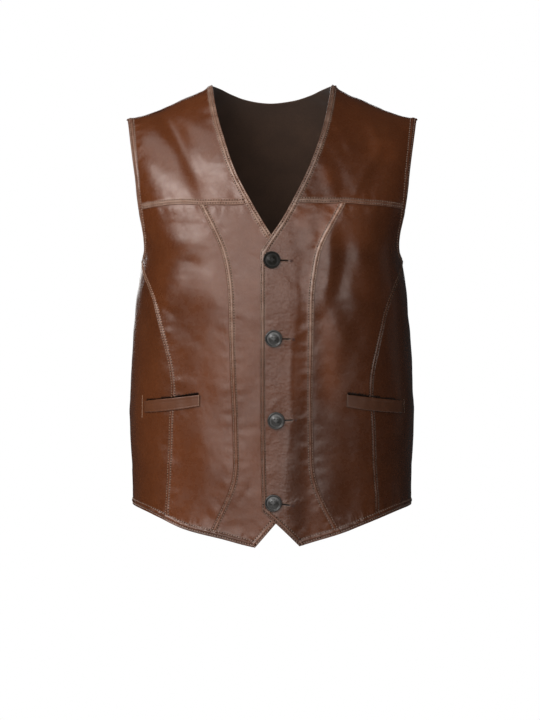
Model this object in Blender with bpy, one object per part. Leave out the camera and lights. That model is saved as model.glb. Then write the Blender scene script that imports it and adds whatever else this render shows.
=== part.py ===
"""Leather vest: V neck, four buttons, front yokes, curved front seams, side
panels and two welt pockets, in the filled-out form that it has when it is worn.

Every panel lies on one smooth torso surface. That surface is a stack of rings
(half width, depth in front, depth behind) up to the chest, which then rounds
over the shoulders. A point on it is named by two numbers:
    angle   degrees round the body, 0 at the front centre, + to the wearer's
            left (+X), 90 at the side, 180 at the back centre
    rise    millimetres up the surface from the chest line, minus below it
The sizes below are millimetres; the meshes are in metres. -Y is the front.
"""
import math

import bmesh
import bpy
import numpy as np
from mathutils import Matrix, Vector

# ------------------------------------------------------------------ sizes, mm
WALL = 2.0               # leather and its plain backing
SEAM_GAP = 0.3           # between neighbouring pieces
LAP_LIFT = 2.5           # the left front lies on the right one
LAP_FLAT_X = 24.0        # the lifted zone reaches this far from the centre
LAP_END_X = 50.0         # and has come down again here
CHEST_Z = -200.0         # height of the chest line, rise 0
ROUND = 210.0            # rise for one radian of the rounding over the shoulder
CREST_RISE = ROUND * math.pi / 2
SQUARENESS = 0.045       # rings are a little squarer than an ellipse
SHOULDER_FORWARD = 12.0  # the shoulder ends come forward
SHOULDER_SEAM_RISE = 306.0
SIDE_SEAM_ANGLE = 100.0
BEARING_X = 140.0        # middle of each shoulder, where the vest is held up

BUTTON_RADIUS = 11.5
BUTTON_CLEAR = 0.7       # under side of a button over the leather
SHANK_RADIUS = 1.3
SLOT_WIDTH = 1.0
SLOT_REACH = 24.5        # from the shank to the end of the buttonhole
WELT_WALL = 1.8
MOUTH_OVER = 1.6         # the pocket mouth is cut from here over the welt's edge
MOUTH_UNDER = 1.4        # to here under it

# Torso rings: rise, half width, depth in front, depth behind
RINGS = (
    (-420, 191.0, 115.0, 113.0),
    (-350, 191.5, 116.0, 111.0),
    (-300, 192.5, 117.0, 107.0),
    (-250, 195.0, 118.0, 101.0),
    (-200, 195.0, 119.5, 98.0),
    (-150, 193.0, 121.5, 101.0),
    (-100, 189.5, 123.5, 108.0),
    (-55, 185.0, 123.5, 114.0),
    (-20, 179.5, 121.0, 117.0),
    (0, 178.5, 119.5, 118.0),
    (40, 191.0, 118.0, 120.0),
    (80, 202.0, 115.5, 121.5),
    (130, 210.0, 112.0, 121.0),
    (180, 214.5, 107.0, 119.0),
    (230, 216.0, 102.0, 115.0),
    (280, 216.0, 98.0, 110.0),
    (330, 215.0, 95.0, 106.0),
)
# Shoulder line from the front: distance from the centre, height
CREST = (
    (-5, 52.0), (0, 52.0), (40, 47.0), (72, 36.0), (86, 27.0), (101, 18.0),
    (119, 10.0), (135, 2.6), (153, -5.0), (170, -11.2), (186, -16.2),
    (198, -18.8), (216, -22.0),
)
# Neckline: height, distance from the centre on the right front, on the left
# (below 0 is across the centre, in the overlap)
NECKLINE = (
    (-6, 76.3, 75.5), (-30, 70.6, 70.0), (-60, 61.6, 61.0), (-85, 53.5, 51.8),
    (-110, 42.7, 40.8), (-141.5, 25.9, 24.6), (-165, 12.3, 11.5),
    (-182, 1.7, 0.0), (-206, -14.0, -15.8),
)
NECK_POINT_X = 82.0      # where the neckline meets the shoulder seam
NECK_ON_YOKE_ROWS = 6    # the first rows above are the yoke's
# Front edges: height, edge of the right front (under), of the left (over)
FRONT_EDGE = (
    (-206, -14.0, -15.8), (-290, -15.0, -16.0), (-390, -17.0, -16.0),
    (-480, -18.5, -15.2), (-551, -19.0, -13.4),
)
# Cutaway below the last button: height and distance, right front, left front
CUTAWAY = (
    (-551, -19.0, -551.6, -13.4), (-570, -3.1, -567.5, 4.7),
    (-600, 22.8, -598.0, 36.4),
)
# Hem: distance from the centre, height on the right, on the left
HEM = (
    (36.4, -597.0, -598.0), (62, -590.0, -590.5), (90, -583.5, -582.3),
    (118, -576.0, -571.8), (143, -565.5, -562.5), (165, -556.0, -554.5),
    (185, -549.5, -549.0),
)
HEM_SIDE_RISE = -348.0
HEM_BACK_RISE = -355.0
# Yoke seam: distance from the centre, height on the right, on the left
YOKE_SEAM = (
    (26, -142.8, -140.3), (50, -143.3, -140.7), (72, -143.0, -141.1),
    (98, -142.8, -140.5), (120, -141.8, -141.8), (145, -143.0, -143.2),
    (165, -145.2, -145.0), (180, -147.4, -146.5),
)
# Curved front seam: height, distance on the right, on the left
FRONT_SEAM = (
    (-142, 97.2, 98.4), (-172, 82.7, 81.0), (-203, 68.9, 66.0),
    (-227, 62.6, 60.6), (-259, 58.6, 56.4), (-300, 57.2, 55.3),
    (-375, 55.2, 54.3), (-430, 52.8, 54.5), (-474, 51.8, 55.2),
    (-507, 53.0, 58.2), (-530, 59.9, 65.6), (-555, 71.6, 78.0),
    (-584, 85.0, 93.0),
)
# Side panel's front seam: rise, angle from the front centre
SIDE_PANEL_SEAM = (
    (-10, 88.0), (-27, 76.0), (-42, 65.5), (-60, 57.0), (-80, 51.5),
    (-105, 46.9), (-137, 42.4), (-166, 39.3), (-191, 38.4), (-219, 39.0),
    (-275, 40.5), (-332, 42.5), (-364, 43.0),
)
# Armhole, the same in front (from the front centre) and behind (from the back
# centre): rise, angle
ARMHOLE = (
    (-10, 90.0), (-8.5, 83.0), (-4, 76.5), (5, 71.6), (18, 67.6), (35, 64.4),
    (57, 61.8), (90, 59.4), (130, 58.2), (180, 58.6), (230, 59.8),
    (280, 61.4), (330, 62.9), (354, 63.3),
)
# Back neckline: rise, distance from the centre
BACK_NECK = ((330, 83.0), (300, 79.5), (268, 69.0), (240, 51.0), (222, 26.0), (216, 0.0))
# Buttons: height, distance to the wearer's left, slope of the buttonhole
BUTTONS = (
    (-217.6, -0.4, -3.0), (-321.5, 2.0, -2.0), (-430.5, 5.2, 2.0),
    (-540.0, 1.6, -8.0),
)
# Button turned profile: radius, height over the button's under side
BUTTON_PROFILE = (
    (9.4, 0.0), (11.0, 0.7), (11.5, 1.7), (11.2, 2.7), (10.4, 3.3),
    (9.4, 3.4), (8.6, 3.0), (7.8, 2.5), (4.5, 2.2),
)
BUTTON_HOLE_AT = 1.95    # from the centre, each way
BUTTON_HOLE_RADIUS = 0.95
# Pocket welts: distance of the inner end, of the outer end; heights of the
# mouth (top edge) and of the lower edge at those ends: right, then left
WELTS = {
    "right": (-1, 96.3, 170.9, -395.5, -405.6, -411.5, -420.4),
    "left": (1, 98.8, 173.6, -395.3, -405.6, -412.6, -421.0),
}
BROWN = (0.115, 0.038, 0.015)
BROWN_WELT = (0.090, 0.030, 0.012)
HORN = (0.035, 0.033, 0.032)


# --------------------------------------------------------------- small maths
def smooth_curve(xs, ys):
    """A natural cubic curve through the rows, held level past its ends."""
    xs, ys = np.asarray(xs, float), np.asarray(ys, float)
    order = np.argsort(xs)
    xs, ys = xs[order], ys[order]
    n, h = len(xs), np.diff(xs)
    a, r = np.zeros((n, n)), np.zeros(n)
    a[0, 0] = a[-1, -1] = 1.0
    for i in range(1, n - 1):
        a[i, i - 1], a[i, i], a[i, i + 1] = h[i - 1], 2 * (h[i - 1] + h[i]), h[i]
        r[i] = 6 * ((ys[i + 1] - ys[i]) / h[i] - (ys[i] - ys[i - 1]) / h[i - 1])
    m = np.linalg.solve(a, r)

    def at(x):
        x = np.clip(np.asarray(x, float), xs[0], xs[-1])
        i = np.clip(np.searchsorted(xs, x, side="right") - 1, 0, n - 2)
        p, q, s = xs[i + 1] - x, x - xs[i], h[i]
        return ((m[i] * p**3 + m[i + 1] * q**3) / (6 * s)
                + (ys[i] / s - m[i] * s / 6) * p
                + (ys[i + 1] / s - m[i + 1] * s / 6) * q)
    return at


def ease(a, b, x):
    t = np.clip((np.asarray(x, float) - a) / (b - a), 0, 1)
    return t * t * (3 - 2 * t)


ring = np.array(RINGS, float)
half_width = smooth_curve(ring[:, 0], ring[:, 1])
depth_front = smooth_curve(ring[:, 0], ring[:, 2])
depth_back = smooth_curve(ring[:, 0], ring[:, 3])
crest = np.array(CREST, float)
crest_z = smooth_curve(crest[:, 0], crest[:, 1])


# ------------------------------------------------------------ torso surface
def torso(angle, rise):
    """Points of the outer surface, mm, before the origin is moved."""
    angle, rise = np.broadcast_arrays(np.radians(angle), np.asarray(rise, float))
    over = rise > CREST_RISE
    angle = np.where(over, np.pi - angle, angle)
    rise = np.where(over, 2 * CREST_RISE - rise, rise)
    k = SQUARENESS
    depth = np.where(np.cos(angle) > 0, depth_front(rise), depth_back(rise))
    x = half_width(rise) * (np.sin(angle) + k * np.sin(3 * angle)) / (1 - k)
    y = -depth * (np.cos(angle) - k * np.cos(3 * angle)) / (1 - k)
    turn = np.clip(rise, 0, None) / ROUND
    s = np.sin(turn)
    top = crest_z(np.abs(x)) - CHEST_Z
    z = np.where(rise <= 0, CHEST_Z + rise,
                 CHEST_Z + ROUND * s + (top - ROUND) * s * s)
    y = y * np.cos(turn) - SHOULDER_FORWARD * (x / 200) ** 2 * s * s
    return np.stack([x, y, z], -1)


def torso_normal(angle, rise):
    da, dr = 0.05, 0.2
    along = torso(angle + da, rise) - torso(angle - da, rise)
    up = torso(angle, rise + dr) - torso(angle, rise - dr)
    n = np.cross(along, up)
    return n / np.linalg.norm(n, axis=-1, keepdims=True)


fan = np.radians(np.linspace(0, 90, 1801))
fan_x = (np.sin(fan) + SQUARENESS * np.sin(3 * fan)) / (1 - SQUARENESS)


def on_front(x, z):
    """(angle, rise) of the front surface point seen at x, z."""
    up = z - CHEST_Z
    if up > 0:
        a = float(crest_z(abs(x))) - CHEST_Z - ROUND
        s = up / ROUND if abs(a) < 1e-6 else (
            (-ROUND + math.sqrt(ROUND**2 + 4 * a * up)) / (2 * a))
        up = ROUND * math.asin(min(1.0, s))
    reach = min(abs(x) / float(half_width(up)), 1.0)
    return math.copysign(math.degrees(np.interp(reach, fan_x, fan)), x), up


bearing = torso(np.interp(BEARING_X / float(half_width(CREST_RISE)), fan_x,
                          np.degrees(fan)), CREST_RISE)
ORIGIN = np.array([0.0, bearing[1], bearing[2] - WALL])   # held up here


# --------------------------------------------------------------- seam curves
def through(points, count):
    """count + 1 evenly spaced points of a smooth curve through the points."""
    p = np.asarray(points, float)
    step = np.linalg.norm(np.diff(p * np.array([2.0, 1.0]), axis=0), axis=1)
    t = np.concatenate([[0], np.cumsum(step)])
    fa, fr = smooth_curve(t, p[:, 0]), smooth_curve(t, p[:, 1])
    fine = np.linspace(0, t[-1], 400)
    q = torso(fa(fine), fr(fine))
    run = np.concatenate([[0], np.cumsum(np.linalg.norm(np.diff(q, axis=0), axis=1))])
    s = np.interp(np.linspace(0, run[-1], count + 1), run, fine)
    return np.stack([fa(s), fr(s)], -1)


def chain(*runs):
    """Runs joined end to end, one shared point at each corner."""
    return np.concatenate([runs[0]] + [r[1:] for r in runs[1:]])


class Side:
    """The seam lines of one side: -1 the wearer's right, +1 the left."""

    def __init__(self, sign):
        self.s, self.col = sign, 1 if sign < 0 else 2

    def xz(self, x, z):
        return on_front(self.s * x, z)

    def by_height(self, table):
        return [self.xz(row[self.col], row[0]) for row in table]

    def by_width(self, table):
        return [self.xz(row[0], row[self.col]) for row in table]

    def at(self, rise, angle):
        return self.s * angle, rise

    def neck_top(self):
        w = float(half_width(SHOULDER_SEAM_RISE))
        return (self.s * float(np.interp(NECK_POINT_X / w, fan_x, np.degrees(fan))),
                SHOULDER_SEAM_RISE)

    def neck(self):
        return [self.neck_top()] + self.by_height(NECKLINE)

    def armhole_front(self, low, high):
        rows = [r for r in ARMHOLE if low <= r[0] <= high]
        return [self.at(*r) for r in rows]

    def hem(self):
        if self.s < 0:
            rows = [(22.8, -600.0, 0)] + [r for r in HEM]
        else:
            rows = list(HEM)
        pts = self.by_width(rows)
        return pts + [self.at(HEM_SIDE_RISE, 90.0), self.at(HEM_SIDE_RISE, SIDE_SEAM_ANGLE)]


def cut_at(curve_pts, angle):
    """Split a curve, given by points running outwards, at an angle."""
    fine = through(curve_pts, 600)
    i = int(np.argmin(np.abs(np.abs(fine[:, 0]) - abs(angle))))
    return fine[: i + 1], fine[i:]


def evenly(points, count):
    """A dense run of points, resampled to count + 1."""
    q = torso(points[:, 0], points[:, 1])
    run = np.concatenate([[0], np.cumsum(np.linalg.norm(np.diff(q, axis=0), axis=1))])
    s = np.linspace(0, run[-1], count + 1)
    return np.stack([np.interp(s, run, points[:, 0]), np.interp(s, run, points[:, 1])], -1)


def fill(low, high, left, right):
    """A grid between four edges that share corners: rows run low to high."""
    u = np.linspace(0, 1, len(low))[None, :, None]
    v = np.linspace(0, 1, len(left))[:, None, None]
    ruled_v = (1 - v) * low[None] + v * high[None]
    ruled_u = (1 - u) * left[:, None] + u * right[:, None]
    corners = ((1 - u) * (1 - v) * low[0] + u * (1 - v) * low[-1]
               + (1 - u) * v * high[0] + u * v * high[-1])
    return ruled_v + ruled_u - corners


def relax(grid, steps=400):
    """Even out a grid's cells, its edges held."""
    g = grid.copy()
    for _ in range(steps):
        g[1:-1, 1:-1] = (g[:-2, 1:-1] + g[2:, 1:-1] + g[1:-1, :-2] + g[1:-1, 2:]) / 4
    return g


# -------------------------------------------------------------------- meshes
def to_metres(points):
    return (points - ORIGIN) / 1000.0


def inset(points, amount):
    """Move a grid's edge points inwards, along the surface."""
    out = points.copy()

    def pull(edge, inner):
        run = np.gradient(edge, axis=0)
        run /= np.linalg.norm(run, axis=1, keepdims=True)
        way = inner - edge
        way = way - run * np.sum(way * run, axis=1, keepdims=True)
        return amount * way / np.linalg.norm(way, axis=1, keepdims=True)
    out[0] += pull(points[0], points[1])
    out[-1] += pull(points[-1], points[-2])
    out[:, 0] += pull(points[:, 0], points[:, 1])
    out[:, -1] += pull(points[:, -1], points[:, -2])
    return out


def leather(name, colour, rough=0.42, metal=0.0):
    m = bpy.data.materials.new(name)
    m.use_nodes = True
    b = m.node_tree.nodes["Principled BSDF"]
    b.inputs["Base Color"].default_value = (*colour, 1.0)
    b.inputs["Roughness"].default_value = rough
    b.inputs["Metallic"].default_value = metal
    m.diffuse_color = (*colour, 1.0)
    return m


def add_object(name, verts, faces, material, smooth=True):
    """One closed mesh, with its own origin at its middle."""
    verts = np.asarray(verts, float)
    centre = np.round((verts.min(0) + verts.max(0)) / 2, 3)
    mesh = bpy.data.meshes.new(name)
    mesh.from_pydata([tuple(v) for v in verts - centre], [], faces)
    bm = bmesh.new()
    bm.from_mesh(mesh)
    bmesh.ops.recalc_face_normals(bm, faces=bm.faces)
    if bm.calc_volume(signed=True) < 0:
        bmesh.ops.reverse_faces(bm, faces=bm.faces)
    bm.to_mesh(mesh)
    bm.free()
    if smooth:
        mesh.shade_smooth()
        mesh.set_sharp_from_angle(angle=math.radians(40))
    mesh.materials.append(material)
    ob = bpy.data.objects.new(name, mesh)
    ob.location = centre
    bpy.context.scene.collection.objects.link(ob)
    return ob


def lap_lift(points):
    """How far the left front is lifted where it lies on the right one."""
    x, z = points[..., 0], points[..., 2]
    return (LAP_LIFT * (1 - ease(LAP_FLAT_X, LAP_END_X, x))
            * ease(-146.0, -172.0, z))


def sheet(name, grid, wall=WALL, lift=None, colour=BROWN, rough=0.42):
    """A closed wall on the torso: outer face on the surface, inner below."""
    base = torso(grid[..., 0], grid[..., 1])
    normal = torso_normal(grid[..., 0], grid[..., 1])
    raised = 0.0 if lift is None else lift(base)
    outer = base + normal * np.asarray(raised)[..., None] if lift is not None else base
    outer = inset(outer, SEAM_GAP / 2 + 0.05)
    inner = outer - normal * wall
    rows, cols = grid.shape[:2]
    verts = np.concatenate([outer.reshape(-1, 3), inner.reshape(-1, 3)])
    n = rows * cols

    def at(i, j, layer=0):
        return layer * n + i * cols + j
    faces = []
    for i in range(rows - 1):
        for j in range(cols - 1):
            a, b, c, d = at(i, j), at(i, j + 1), at(i + 1, j + 1), at(i + 1, j)
            if np.linalg.norm(verts[a] - verts[c]) > np.linalg.norm(verts[b] - verts[d]):
                a, b, c, d = b, c, d, a          # split across the short way
            faces += [(a, b, c), (a, c, d)]
            faces += [(c + n, b + n, a + n), (d + n, c + n, a + n)]
    border = ([at(0, j) for j in range(cols)]
              + [at(i, cols - 1) for i in range(1, rows)]
              + [at(rows - 1, j) for j in range(cols - 2, -1, -1)]
              + [at(i, 0) for i in range(rows - 2, 0, -1)])
    for a, b in zip(border, border[1:] + border[:1]):
        faces += [(b, a, a + n), (b, a + n, b + n)]
    return add_object(name, to_metres(verts), faces, leather(name, colour, rough))


# -------------------------------------------------------------------- build
for ob in list(bpy.data.objects):
    bpy.data.objects.remove(ob, do_unlink=True)

panels = {}
for side_name, sign in (("right", -1), ("left", 1)):
    side = Side(sign)
    neck = side.neck()
    neck_yoke = through(neck[: NECK_ON_YOKE_ROWS + 1], 13)
    neck_low = through(neck[NECK_ON_YOKE_ROWS:], 5)
    yoke_line = side.by_width(YOKE_SEAM)
    yoke_line[0] = tuple(neck_yoke[-1])
    arm_top = through(side.armhole_front(57, 354), 400)
    arm_low = through(side.armhole_front(-10, 90), 400)
    # the armhole is shared out at the yoke seam and at the shoulder seam
    yoke_rise = yoke_line[-1][1]
    arm_yoke = np.concatenate([arm_low, arm_top[arm_top[:, 1] > 90]])
    arm_yoke = arm_yoke[(arm_yoke[:, 1] >= yoke_rise) & (arm_yoke[:, 1] <= SHOULDER_SEAM_RISE)]
    arm_side = arm_low[arm_low[:, 1] <= yoke_rise]
    yoke_line[-1] = tuple(arm_yoke[0])
    arm_side = np.concatenate([arm_side[np.abs(arm_side[:, 0]) <= 88.0], arm_yoke[:1]])

    front_seam = side.by_height(FRONT_SEAM)
    yoke_in, yoke_out = cut_at(yoke_line, front_seam[0][0])
    front_seam[0] = tuple(yoke_in[-1])
    hem = side.hem()
    hem_in, hem_rest = cut_at(hem, front_seam[-1][0])
    front_seam[-1] = tuple(hem_in[-1])
    panel_seam = [side.at(r, a) for r, a in SIDE_PANEL_SEAM]
    hem_mid, hem_out = cut_at(list(map(tuple, evenly(hem_rest, 60))), panel_seam[-1][0])
    panel_seam[-1] = tuple(hem_mid[-1])
    panel_seam[0] = tuple(arm_side[0])

    # yoke, from the seam up to the shoulder
    low = chain(evenly(yoke_in, 4), evenly(yoke_out, 6))
    w = [neck_yoke[0], tuple(arm_yoke[-1])]
    shoulder = through([w[0], (0.5 * (w[0][0] + w[1][0]), SHOULDER_SEAM_RISE), w[1]], 10)
    sheet("front_yoke_" + side_name,
          fill(low, shoulder, neck_yoke[::-1], evenly(arm_yoke, 13)))

    # centre front
    edge = through([side.xz(r[side.col], r[0]) for r in FRONT_EDGE], 19)
    cut = through([side.xz(r[1], r[0]) if sign < 0 else side.xz(r[3], r[2])
                   for r in CUTAWAY], 3)
    inner_edge = chain(evenly(neck_low, 5), edge, cut)
    inner_edge[0] = yoke_in[0]
    hem_front = evenly(hem_in, 6)
    hem_front[0] = cut[-1]
    seam = through(front_seam, len(inner_edge) - 1)
    panels["center_" + side_name] = sheet(
        "front_center_" + side_name,
        fill(hem_front, evenly(yoke_in, 6), inner_edge[::-1], seam[::-1]),
        lift=lap_lift if sign > 0 else None)

    # side front, between the two long seams
    outer_edge = chain(evenly(arm_side, 8)[::-1], through(panel_seam, 20))
    seam = through(front_seam, 28)
    panels["front_side_" + side_name] = sheet(
        "front_side_" + side_name,
        fill(evenly(hem_mid, 7), evenly(yoke_out, 7), seam[::-1], outer_edge[::-1]))

    # side panel under the arm
    low = evenly(hem_out, 6)
    under = np.array([side.at(-10 + 2 * ease(90, SIDE_SEAM_ANGLE, a), a)
                      for a in np.linspace(abs(panel_seam[0][0]), SIDE_SEAM_ANGLE, 7)])
    under[0] = panel_seam[0]
    back_line = np.stack([np.full(21, sign * SIDE_SEAM_ANGLE),
                          np.linspace(under[-1][1], hem_out[-1][1], 21)], -1)
    low[-1] = back_line[-1]
    panels["side_" + side_name] = sheet(
        "side_" + side_name,
        fill(low, under, through(panel_seam, 20)[::-1], back_line[::-1]))

# back, one piece, from side seam to side seam and over the shoulders
side_angle = 180.0 - SIDE_SEAM_ANGLE
arm = through([(side_angle, -8.0)] + [(a, r) for r, a in ARMHOLE if r >= -4], 14)
top_rise = 2 * CREST_RISE - SHOULDER_SEAM_RISE
arm = np.concatenate([arm[:-1], [[63.2, top_rise]]])
flank = chain(through([(side_angle, HEM_SIDE_RISE), (side_angle, -8.0)], 12), arm)


def angle_at(x, rise):
    return float(np.interp(x / float(half_width(rise)), fan_x, np.degrees(fan)))


neck_angle = angle_at(NECK_POINT_X, SHOULDER_SEAM_RISE)
hem_back = np.array([(a, HEM_BACK_RISE + (HEM_SIDE_RISE - HEM_BACK_RISE)
                      * ease(10, side_angle, abs(a)))
                     for a in np.linspace(-side_angle, side_angle, 27)])
half_neck = [(neck_angle, top_rise)] + [(angle_at(x, r), r) for r, x in BACK_NECK]
half_shoulder = through([(63.2, top_rise), (0.5 * (63.2 + neck_angle), top_rise),
                         (neck_angle, top_rise)], 5)
neck_back = through([(-a, r) for a, r in half_neck] + half_neck[-2::-1], 16)
top = chain(half_shoulder * np.array([-1, 1]), neck_back, half_shoulder[::-1])
grid = relax(fill(hem_back, top, flank * np.array([-1, 1]), flank))
grid[..., 0] = 180.0 - grid[..., 0]
sheet("back", grid)


def guide(name, verts, faces):
    """A cutter, not part of the vest."""
    mesh = bpy.data.meshes.new(name)
    mesh.from_pydata(verts, [], faces)
    bm = bmesh.new()
    bm.from_mesh(mesh)
    bmesh.ops.recalc_face_normals(bm, faces=bm.faces)
    bm.to_mesh(mesh)
    bm.free()
    ob = bpy.data.objects.new(name, mesh)
    ob.hide_render = True
    ob.display_type = "WIRE"
    bpy.context.scene.collection.objects.link(ob)
    return ob


def cut(ob, cutter):
    m = ob.modifiers.new("cut_" + cutter.name, "BOOLEAN")
    m.operation, m.object, m.solver = "DIFFERENCE", cutter, "EXACT"


# pocket welts, laid on the panels; the mouth is open along the top edge
for side_name, (sign, x_in, x_out, top_in, top_out, low_in, low_out) in WELTS.items():
    def across(z_in, z_out):
        return np.array([on_front(sign * x, z) for x, z in zip(
            np.linspace(x_in, x_out, 11), np.linspace(z_in, z_out, 11))])
    low, high = across(low_in, low_out), across(top_in, top_out)
    v = np.linspace(0, 1, 4)[:, None, None]
    grid = (1 - v) * low[None] + v * high[None]

    def stand_off(points, rows=4):
        shape = np.linspace(0, 1, rows)[:, None]
        return WELT_WALL + SEAM_GAP + 0.1 + 0.8 * shape**2 + 0 * points[..., 0]
    sheet("pocket_welt_" + side_name, grid, wall=WELT_WALL, lift=stand_off,
          colour=BROWN_WELT)

    # the mouth is a slit through both panels, behind the welt's top edge
    slit_verts, n = [], 11
    for x, z in zip(np.linspace(x_in + 2, x_out - 2, n),
                    np.linspace(top_in, top_out, n)):
        for dz in (MOUTH_OVER, -MOUTH_UNDER):
            a, r = on_front(sign * x, z + dz)
            p, out = torso(a, r), torso_normal(a, r)
            slit_verts += [to_metres(p + 6 * out), to_metres(p - 8 * out)]
    slit_faces = [(0, 1, 3, 2)] + [(4 * n - 4, 4 * n - 2, 4 * n - 1, 4 * n - 3)]
    for k in range(n - 1):
        a = 4 * k
        for p, q in ((0, 1), (1, 3), (3, 2), (2, 0)):
            slit_faces.append((a + p, a + q, a + q + 4, a + p + 4))
    mouth = guide("pocket_mouth_" + side_name, [tuple(v) for v in slit_verts], slit_faces)
    cut(panels["front_side_" + side_name], mouth)
    cut(panels["side_" + side_name], mouth)


# buttons, and the buttonholes cut for them in the left front
def button_frame(z, x):
    """A frame on the left front: origin on its outer face, Z outwards."""
    a, r = on_front(x, z)
    p = torso(a, r)
    n = torso_normal(a, r)
    p = p + n * float(lap_lift(p))
    out = Vector(n)
    right = Vector((1, 0, 0)) - out * out.x
    right.normalize()
    up = out.cross(right)
    m = Matrix((right, up, out)).transposed().to_4x4()
    m.translation = Vector(to_metres(p))
    return m


def turned(profile, segments=20):
    """Vertices and faces of a closed turned solid, profile from axis to axis."""
    verts, faces, rings = [], [], []
    for radius, height in profile:
        if radius == 0:
            rings.append([len(verts)])
            verts.append((0.0, 0.0, height / 1000))
            continue
        rings.append(list(range(len(verts), len(verts) + segments)))
        for k in range(segments):
            t = 2 * math.pi * k / segments
            verts.append((radius * math.cos(t) / 1000, radius * math.sin(t) / 1000,
                          height / 1000))
    for a, b in zip(rings, rings[1:]):
        for k in range(segments):
            n = (k + 1) % segments
            if len(a) == 1:
                faces.append((a[0], b[k], b[n]))
            elif len(b) == 1:
                faces.append((a[k], b[0], a[n]))
            else:
                faces.append((a[k], b[k], b[n], a[n]))
    return verts, faces


def keyhole(reach, slope):
    """Outline of a buttonhole: round at the shank, then a slit, mm."""
    r, h = SHANK_RADIUS + 0.4, SLOT_WIDTH / 2
    start = math.asin(h / r)
    pts = [(r * math.cos(t), r * math.sin(t))
           for t in np.linspace(start, 2 * math.pi - start, 13)]
    pts += [(reach + h * math.sin(t), -h * math.cos(t))
            for t in np.linspace(0, math.pi, 5)]
    c, s = math.cos(math.radians(slope)), math.sin(math.radians(slope))
    return [(c * x - s * y, s * x + c * y) for x, y in pts]


shank_low = -(LAP_LIFT - 0.4)          # just over the right front's face
profile = ([(0.0, shank_low), (SHANK_RADIUS, shank_low), (SHANK_RADIUS, BUTTON_CLEAR)]
           + [(r, h + BUTTON_CLEAR) for r, h in BUTTON_PROFILE]
           + [(0.0, BUTTON_PROFILE[-1][1] + BUTTON_CLEAR - 0.1)])
slot_verts, slot_faces = [], []
for number, (z, x, slope) in enumerate(BUTTONS, 1):
    place = button_frame(z, x)
    verts, faces = turned(profile)
    name = "button_%d" % number
    horn = leather(name, HORN, 0.38)
    mesh = bpy.data.meshes.new(name)
    mesh.from_pydata(verts, [], faces)
    bm = bmesh.new()
    bm.from_mesh(mesh)
    bmesh.ops.recalc_face_normals(bm, faces=bm.faces)
    bm.to_mesh(mesh)
    bm.free()
    mesh.shade_smooth()
    mesh.set_sharp_from_angle(angle=math.radians(50))
    mesh.materials.append(horn)
    ob = bpy.data.objects.new(name, mesh)
    ob.matrix_world = place
    bpy.context.scene.collection.objects.link(ob)

    hole_verts, hole_faces = [], []
    for sx in (-1, 1):
        for sy in (-1, 1):
            base = len(hole_verts)
            for h in (-0.001, 0.006):
                for k in range(6):
                    t = 2 * math.pi * (k + 0.5) / 6
                    hole_verts.append((
                        (sx * BUTTON_HOLE_AT + BUTTON_HOLE_RADIUS * math.cos(t)) / 1000,
                        (sy * BUTTON_HOLE_AT + BUTTON_HOLE_RADIUS * math.sin(t)) / 1000, h))
            hole_faces += [tuple(base + k for k in range(6)),
                           tuple(base + 6 + k for k in range(6))]
            hole_faces += [(base + k, base + (k + 1) % 6, base + 6 + (k + 1) % 6,
                            base + 6 + k) for k in range(6)]
    holes = guide("thread_holes_%d" % number, hole_verts, hole_faces)
    holes.matrix_world = place
    cut(ob, holes)

    outline = keyhole(SLOT_REACH, slope)
    base, count = len(slot_verts), len(outline)
    for h in (-0.006, 0.006):
        for px, py in outline:
            slot_verts.append(tuple(place @ Vector((px / 1000, py / 1000, h))))
    slot_faces += [tuple(base + k for k in range(count)),
                   tuple(base + count + k for k in range(count))]
    slot_faces += [(base + k, base + (k + 1) % count,
                    base + count + (k + 1) % count, base + count + k)
                   for k in range(count)]
slots = guide("buttonholes", slot_verts, slot_faces)
cut(panels["center_left"], slots)
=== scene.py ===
"""Leather vest: the finished surfaces of a four-button V-neck vest in its worn,
filled-out form. Every panel is a thin padded shell on one smooth torso surface,
with rolled edges, stitched channels, puckers and soft creases.

A point of the torso surface is named by an angle (degrees round the body, 0 at
the front centre, + to the wearer's left) and a rise (mm up the surface from the
chest line). The sizes below are millimetres; the meshes are in metres. -Y is
the front.
"""
import math

import bmesh
import bpy
import numpy as np
from mathutils import Matrix, Vector
from mathutils.kdtree import KDTree


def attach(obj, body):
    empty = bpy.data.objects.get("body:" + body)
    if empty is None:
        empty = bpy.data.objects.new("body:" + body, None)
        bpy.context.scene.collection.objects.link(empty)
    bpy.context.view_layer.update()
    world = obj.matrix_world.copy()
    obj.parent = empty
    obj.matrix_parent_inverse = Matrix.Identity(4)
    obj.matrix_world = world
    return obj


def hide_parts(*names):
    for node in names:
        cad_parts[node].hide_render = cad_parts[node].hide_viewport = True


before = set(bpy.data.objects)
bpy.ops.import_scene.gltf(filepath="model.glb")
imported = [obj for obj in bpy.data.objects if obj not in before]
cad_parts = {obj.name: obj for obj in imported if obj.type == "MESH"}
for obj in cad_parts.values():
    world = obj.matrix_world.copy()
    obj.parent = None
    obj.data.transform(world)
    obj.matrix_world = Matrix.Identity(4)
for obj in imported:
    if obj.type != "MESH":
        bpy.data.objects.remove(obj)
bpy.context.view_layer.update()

# ------------------------------------------------------------------ sizes, mm
WALL = 2.0               # leather and its plain backing
LAP_LIFT = 2.5           # the left front lies on the right one
LAP_FLAT_X = 24.0        # the lifted zone reaches this far from the centre
LAP_END_X = 50.0         # and has come down again here
CHEST_Z = -200.0         # height of the chest line, rise 0
ROUND = 210.0            # rise for one radian of the rounding over the shoulder
CREST_RISE = ROUND * math.pi / 2
SQUARENESS = 0.045       # rings are a little squarer than an ellipse
SHOULDER_FORWARD = 12.0  # the shoulder ends come forward
SHOULDER_SEAM_RISE = 306.0
SIDE_SEAM_ANGLE = 100.0
BEARING_X = 140.0        # middle of each shoulder, where the vest is held up

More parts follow.
